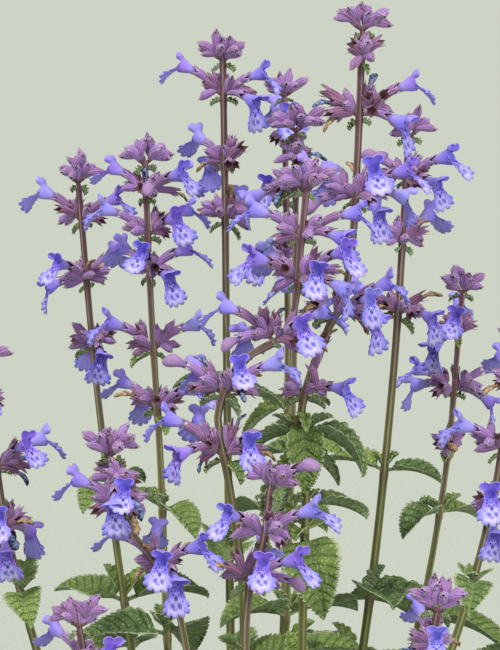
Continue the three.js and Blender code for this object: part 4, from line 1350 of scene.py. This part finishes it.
def makeSoil():
    under = pot["height"] - pot["rimHeight"]
    wall = pot["wall"] + 1.5 * soil["gap"]
    waist = pot["waistRadius"] - wall + 1
    edge = waist + (pot["rimRadius"] - wall - waist) * (soil["top"] - under) / pot["rimHeight"]
    low = pot["floor"] + soil["gap"]

    def crown(x, y):
        return Vector((x, y, crownHeight(x, y, edge))) * metres

    def level(radius):
        angles = circle(soilLook["segments"])
        return [(radius * math.cos(angle), radius * math.sin(angle)) for angle in angles]

    corners = ((pot["footRadius"] - wall, low), (waist, under))
    rings = [[Vector((x, y, height)) * metres for x, y in level(radius)] for radius, height in corners]
    for step in range(soilLook["rings"]):
        rings.append([crown(x, y) for x, y in level(edge * (1 - step / soilLook["rings"]))])
    rings.append([crown(0, 0)])
    bm = loft(rings)
    draws = random.Random(7)
    noise.seed_set(7)

    def lie(count, smallest, largest, make, material):
        for _ in range(count):
            radius, angle = (edge - 2.5) * math.sqrt(draws.random()), draws.uniform(0, 2 * math.pi)
            x, y = radius * math.cos(angle), radius * math.sin(angle)
            size = draws.uniform(smallest, largest)
            spot = Matrix.Translation(crown(x, y) + upward * size * 0.15)
            turn = Matrix.Rotation(draws.uniform(0, 6.28), 4, "Z")
            tip = Matrix.Rotation(draws.uniform(-0.5, 0.5), 4, "X")
            scale = Matrix.Diagonal((size * metres, size * metres * 0.8, size * metres * 0.7, 1))
            verts = make(spot @ turn @ tip @ scale)["verts"]
            for vert in verts:
                vert.co += noise.noise_vector(vert.co / metres) * size * soilLook["rough"] * metres
            setMaterial(verts, material)

    def crumb(matrix):
        return bmesh.ops.create_icosphere(bm, subdivisions=1, radius=0.5, matrix=matrix)

    def chip(matrix):
        return bmesh.ops.create_cube(bm, size=1, matrix=matrix @ Matrix.Diagonal((*soilLook["chip"], 1)))

    upward = Vector((0, 0, metres))
    lie(*soilLook["crumbs"], crumb, 0)
    lie(*soilLook["bark"], chip, 1)
    lie(*soilLook["perlite"], crumb, 2)
    piece = addObject("soil_compost", newMesh("soil", bm))
    for material in (compost, bark, perlite):
        piece.data.materials.append(material)
    settle(piece, "soil")
    piece.data.set_sharp_from_angle(angle=math.radians(soilLook["sharp"]))


makeSoil()
print("soil made")

# The templates that every leaf and flower is grown from; the many small calyces are plainer
def dressed(shape, *skins):
    for skin in skins:
        shape.materials.append(skin)
    return shape


calyxShapes, lightShapes = {}, {}
for stage, state in (("o", "fresh"), ("b", "fresh"), ("s", "spent"), ("c", "closed")):
    levels, cuts = calyxLook[state], calyxLook["cuts"][state]
    shape = calyxTemplate(state + " calyx", levels, *cuts)
    calyxShapes[stage] = dressed(shape, calyxSkin, whiteHair)
    if stage in "sc":
        shape = calyxTemplate(f"light {state} calyx", levels[::2], *cuts, perTooth=2, hairCount=14)
        lightShapes[stage] = dressed(shape, calyxSkin, whiteHair)
corollaLooks = (
    dict(lift=2.7, spread=3.4, lean=1.3), dict(lift=3.0, spread=3.6, lean=0.6),
    dict(lift=2.5, spread=3.1, lean=1.9),
)
leafShape = dressed(leafTemplate("leaf", 56, 12), leafGreen)
leafShapeShort = dressed(leafTemplate("short leaf", 44, 10), leafGreen)
smallLeafShape = dressed(leafTemplate("small leaf", 14, 6), leafGreen)
openCorollas = [dressed(corollaTemplate("corolla", look), petal) for look in corollaLooks]
budCorolla = dressed(budTemplate("bud"), budSkin, whiteHair)
dryCorolla = dressed(driedTemplate("dry corolla"), driedPetal)


# Beside each leaf stands a young one: its size as a share, and how far aside and up it is turned
youngLook = dict(size=(0.3, 0.46), aside=(-32, 32), raised=(24, 46), droop=(10, 40), fold=(25, 45), above=0.6)
leafTint = dict(mean=0.28, spread=0.25, younger=0.35)


def growLeafyStem(stem, path, stemLeaves, index):
    draws = random.Random(index * 13 + 1)
    knots = [pairHeight(pair) for pair in stem["leaves"]]
    top = stem["green"] + jointGap / 2
    parts = [stemPiece("rod", stem, path, rootFoot, top, knots, not stem["whorls"])]
    for leaf in stemLeaves:
        tint = min(1, max(0, draws.gauss(leafTint["mean"], leafTint["spread"])))
        shape = leafShape if leaf["length"] > leafLook["longLeaf"] else leafShapeShort
        parts.append(addLeaf(leaf, shape, draws.random(), tint))
        size = leaf["length"] * draws.uniform(*youngLook["size"])
        aside, raised = draws.uniform(*youngLook["aside"]), draws.uniform(*youngLook["raised"])
        young = dict(leaf, length=size, azimuth=leaf["azimuth"] + aside, rise=leaf["rise"] + raised)
        young.update(droop=draws.uniform(*youngLook["droop"]), fold=draws.uniform(*youngLook["fold"]))
        young["base"] = leaf["base"] + upright * youngLook["above"]
        parts.append(addLeaf(young, smallLeafShape, draws.random(), min(1, tint + leafTint["younger"])))
    settle(joined("leafy_" + stem["name"], parts), "leafy_stem_" + stem["name"])


# The stalk of a cyme, a little thicker at its ends
stalkLook = dict(sides=7, levels=((0, 1.15), (0.3, 0.95), (0.7, 0.95), (1.0, 1.2)))


def addStalk(start, end):
    place = frameAlong(start, end - start)
    reach = np.linalg.norm(end - start)
    sides = stalkLook["sides"]
    rings, places = [], []
    for share, scale in stalkLook["levels"]:
        rings.append([point * metres for point in ring(place, reach * share, stalkRadius * scale, sides)])
        places.append([(reach * share, 0.45, i) for i in range(sides)])
    kinds = [[(0.95, 0.8, 0)] * sides] * len(rings)
    return addObject("stalk", dressed(newMesh("stalk", loft(rings, places, kinds)), stemSkin))


# How spent a calyx looks in each stage, and how far a flower is rolled, how large it is and how often a
# spent one holds its dried petals
tints = dict(c=(0, 0.5), s=(0.4, 1), b=(0, 0.3), o=(0, 0.6))
flowerLook = dict(calyxRoll=14, roll=13, o=(0.93, 1.07), b=(0.92, 1.05), dried=0.5, driedSize=(0.6, 1.15))


def addCalyx(stage, place, length, draws, wide, shapes=calyxShapes):
    roll = draws.uniform(-flowerLook["calyxRoll"], flowerLook["calyxRoll"])
    turned = frameAlong(place[0], place[1], roll)
    shape = shapes[stage]
    return addCopy(shape, standing(shape, turned, (length, wide, wide)), draws.uniform(*tints[stage]))


def growFlower(flower, draws):
    stage, place, length = flower["stage"], calyxFrame(flower), flower["length"]
    parts = [addCalyx(stage, place, length * 1.03, draws, draws.uniform(0.9, 1.06))]
    if flower["stalk"]:
        parts.append(addStalk(flower["foot"], flower["base"]))
    origin, u, v, w = corollaFrame(flower)
    bowed = frameAlong(origin, u, draws.uniform(-flowerLook["roll"], flowerLook["roll"]))
    if stage in "ob":
        size = draws.uniform(*flowerLook[stage])
        shape = draws.choice(openCorollas) if stage == "o" else budCorolla
        parts.append(addCopy(shape, standing(shape, bowed, (size, size, size)), draws.random()))
    if stage == "s" and draws.random() < flowerLook["dried"]:
        parts.append(addDried(place, length, draws))
    return parts


def addDried(place, length, draws):
    size = draws.uniform(*flowerLook["driedSize"])
    origin = at(place, length - 0.7, 0, 0)
    points = standing(dryCorolla, (origin, *place[1:]), (size, size * 0.9, size * 0.9))
    return addCopy(dryCorolla, points, draws.choice((0, 0, 1)))


# Between the planned flowers of each cyme stand more young and spent calyces, each with room to itself
fillLook = dict(each=6, apart=18, spread=(24, 74), reach=(0.6, 3.4), length=(0.5, 0.92), spent=0.4)
fillLook.update(flowers=0.4, flowerApart=33, flowerSpread=(25, 62), flowerTries=12, tries=40, dried=0.25)
fillLook.update(width=(0.84, 1.04), topRise=22)


def fillCyme(origin, azimuth, taken, draws, top):
    cymeFrame = frameAlong(origin, heading(azimuth, cyme["rise"] + (fillLook["topRise"] if top else 0)))

    def freeDirection(number, spread, apart):
        tilt = math.radians(draws.uniform(*spread))
        lean = turnedAbout(cymeFrame[3], cymeFrame[1], cyme["turn"] * number + draws.uniform(-20, 20))
        direction = cymeFrame[1] * math.cos(tilt) + lean * math.sin(tilt)
        if any(np.dot(direction, other) > math.cos(math.radians(apart)) for other in taken):
            return None
        taken.append(direction)
        return direction

    parts, count = [], 0
    if not top and draws.random() < fillLook["flowers"]:
        for number in range(fillLook["flowerTries"]):
            direction = freeDirection(number, fillLook["flowerSpread"], fillLook["flowerApart"])
            if direction is not None and abs(direction[2] - 0.15) < 0.4:
                bloom = dict(stage="o", direction=direction, length=0.92 * calyx["length"], stalk=0)
                bloom["base"] = at(cymeFrame, draws.uniform(1, 2), 0, 0)
                parts += growFlower(bloom, draws)
                break
    for number in range(fillLook["tries"]):
        direction = freeDirection(number, fillLook["spread"], fillLook["apart"])
        if direction is None:
            continue
        base = at(cymeFrame, draws.uniform(*fillLook["reach"]), 0, 0)
        stage = "s" if draws.random() < fillLook["spent"] and not top else "c"
        length = calyx["length"] * draws.uniform(*fillLook["length"])
        place = frameAlong(base, direction)
        wide = draws.uniform(*fillLook["width"])
        parts.append(addCalyx(stage, place, length, draws, wide, lightShapes))
        if stage == "s" and draws.random() < fillLook["dried"]:
            parts.append(addDried(place, length, draws))
        count += 1
        if count >= fillLook["each"]:
            break
    return parts


# A small leaf stands under each cyme, larger under the lower ones
bractLook = dict(low=(4, 7), high=(2.2, 3.8), aside=(-20, 20), rise=(-30, 10))
bractLook.update(fold=30, droop=40, tint=(0, 0.6))


def growSpike(stem, path, spikeFlowers, index):
    draws = random.Random(index * 17 + 3)
    knots = [whorl[0] for whorl in stem["whorls"]]
    top = stem["points"][-1][2]
    parts = [stemPiece("axis", stem, path, stem["green"] + jointGap / 2, top - 0.01, knots, True)]
    for flower in spikeFlowers:
        parts += growFlower(flower, draws)
    for row, whorl in enumerate(stem["whorls"]):
        height = whorl[0]
        origin = pointAt(path, min(height + overBend, top - 0.5))
        near = [flower["direction"] for flower in spikeFlowers if np.linalg.norm(flower["foot"] - origin) < 3]
        last = height > top - 6
        for side in (0, 1):
            azimuth = whorl[1] + 180 * side
            parts += fillCyme(origin, azimuth, near, draws, last)
            bract = dict(base=pointAt(path, height), azimuth=azimuth + draws.uniform(*bractLook["aside"]))
            size = draws.uniform(*bractLook["low" if row > len(stem["whorls"]) / 2 else "high"])
            bract.update(rise=draws.uniform(*bractLook["rise"]), length=size, roll=0)
            bract.update(fold=bractLook["fold"], droop=bractLook["droop"])
            phase, tint = draws.random(), draws.uniform(*bractLook["tint"])
            parts.append(addLeaf(bract, smallLeafShape, phase, tint))
    settle(joined("spike_" + stem["name"], parts), "flower_spike_" + stem["name"])


for index, (stem, path) in enumerate(zip(stems, paths)):
    growLeafyStem(stem, path, leaves[index], index)
    if stem["whorls"]:
        growSpike(stem, path, flowers[index], index)
print("plant grown")

# A pale matt floor and soft studio light
bm = bmesh.new()
bmesh.ops.create_circle(bm, cap_ends=True, segments=96, radius=12)
floor = addObject("floor", bpy.data.meshes.new("floor"))
bm.to_mesh(floor.data)
bm.free()
floor.data.materials.append(plainMaterial("pale floor", "#c9cebf", 1.0, 0.0))

world = bpy.data.worlds.new("studio")
bpy.context.scene.world = world
world.use_nodes = True
sky = world.node_tree.nodes["Background"]
sky.inputs["Color"].default_value = colour("#eef2f4")
sky.inputs["Strength"].default_value = 0.55


# A sun from an azimuth and a height in degrees, as wide as so many degrees of the sky
def addLight(name, energy, azimuth, elevation, width):
    data = bpy.data.lights.new(name, "SUN")
    data.energy = energy
    data.angle = math.radians(width)
    light = addObject(name, data)
    direction = Vector(heading(azimuth, elevation))
    light.location = direction * 1.2 + Vector((0, 0, 0.2))
    light.rotation_euler = direction.to_track_quat("Z", "Y").to_euler()


addLight("sun", 2.1, -125, 55, 8)
addLight("fill", 1.6, -50, 25, 50)
bpy.context.scene.view_settings.view_transform = "Standard"
bpy.context.scene.view_settings.look = "None"

bpy.context.view_layer.update()
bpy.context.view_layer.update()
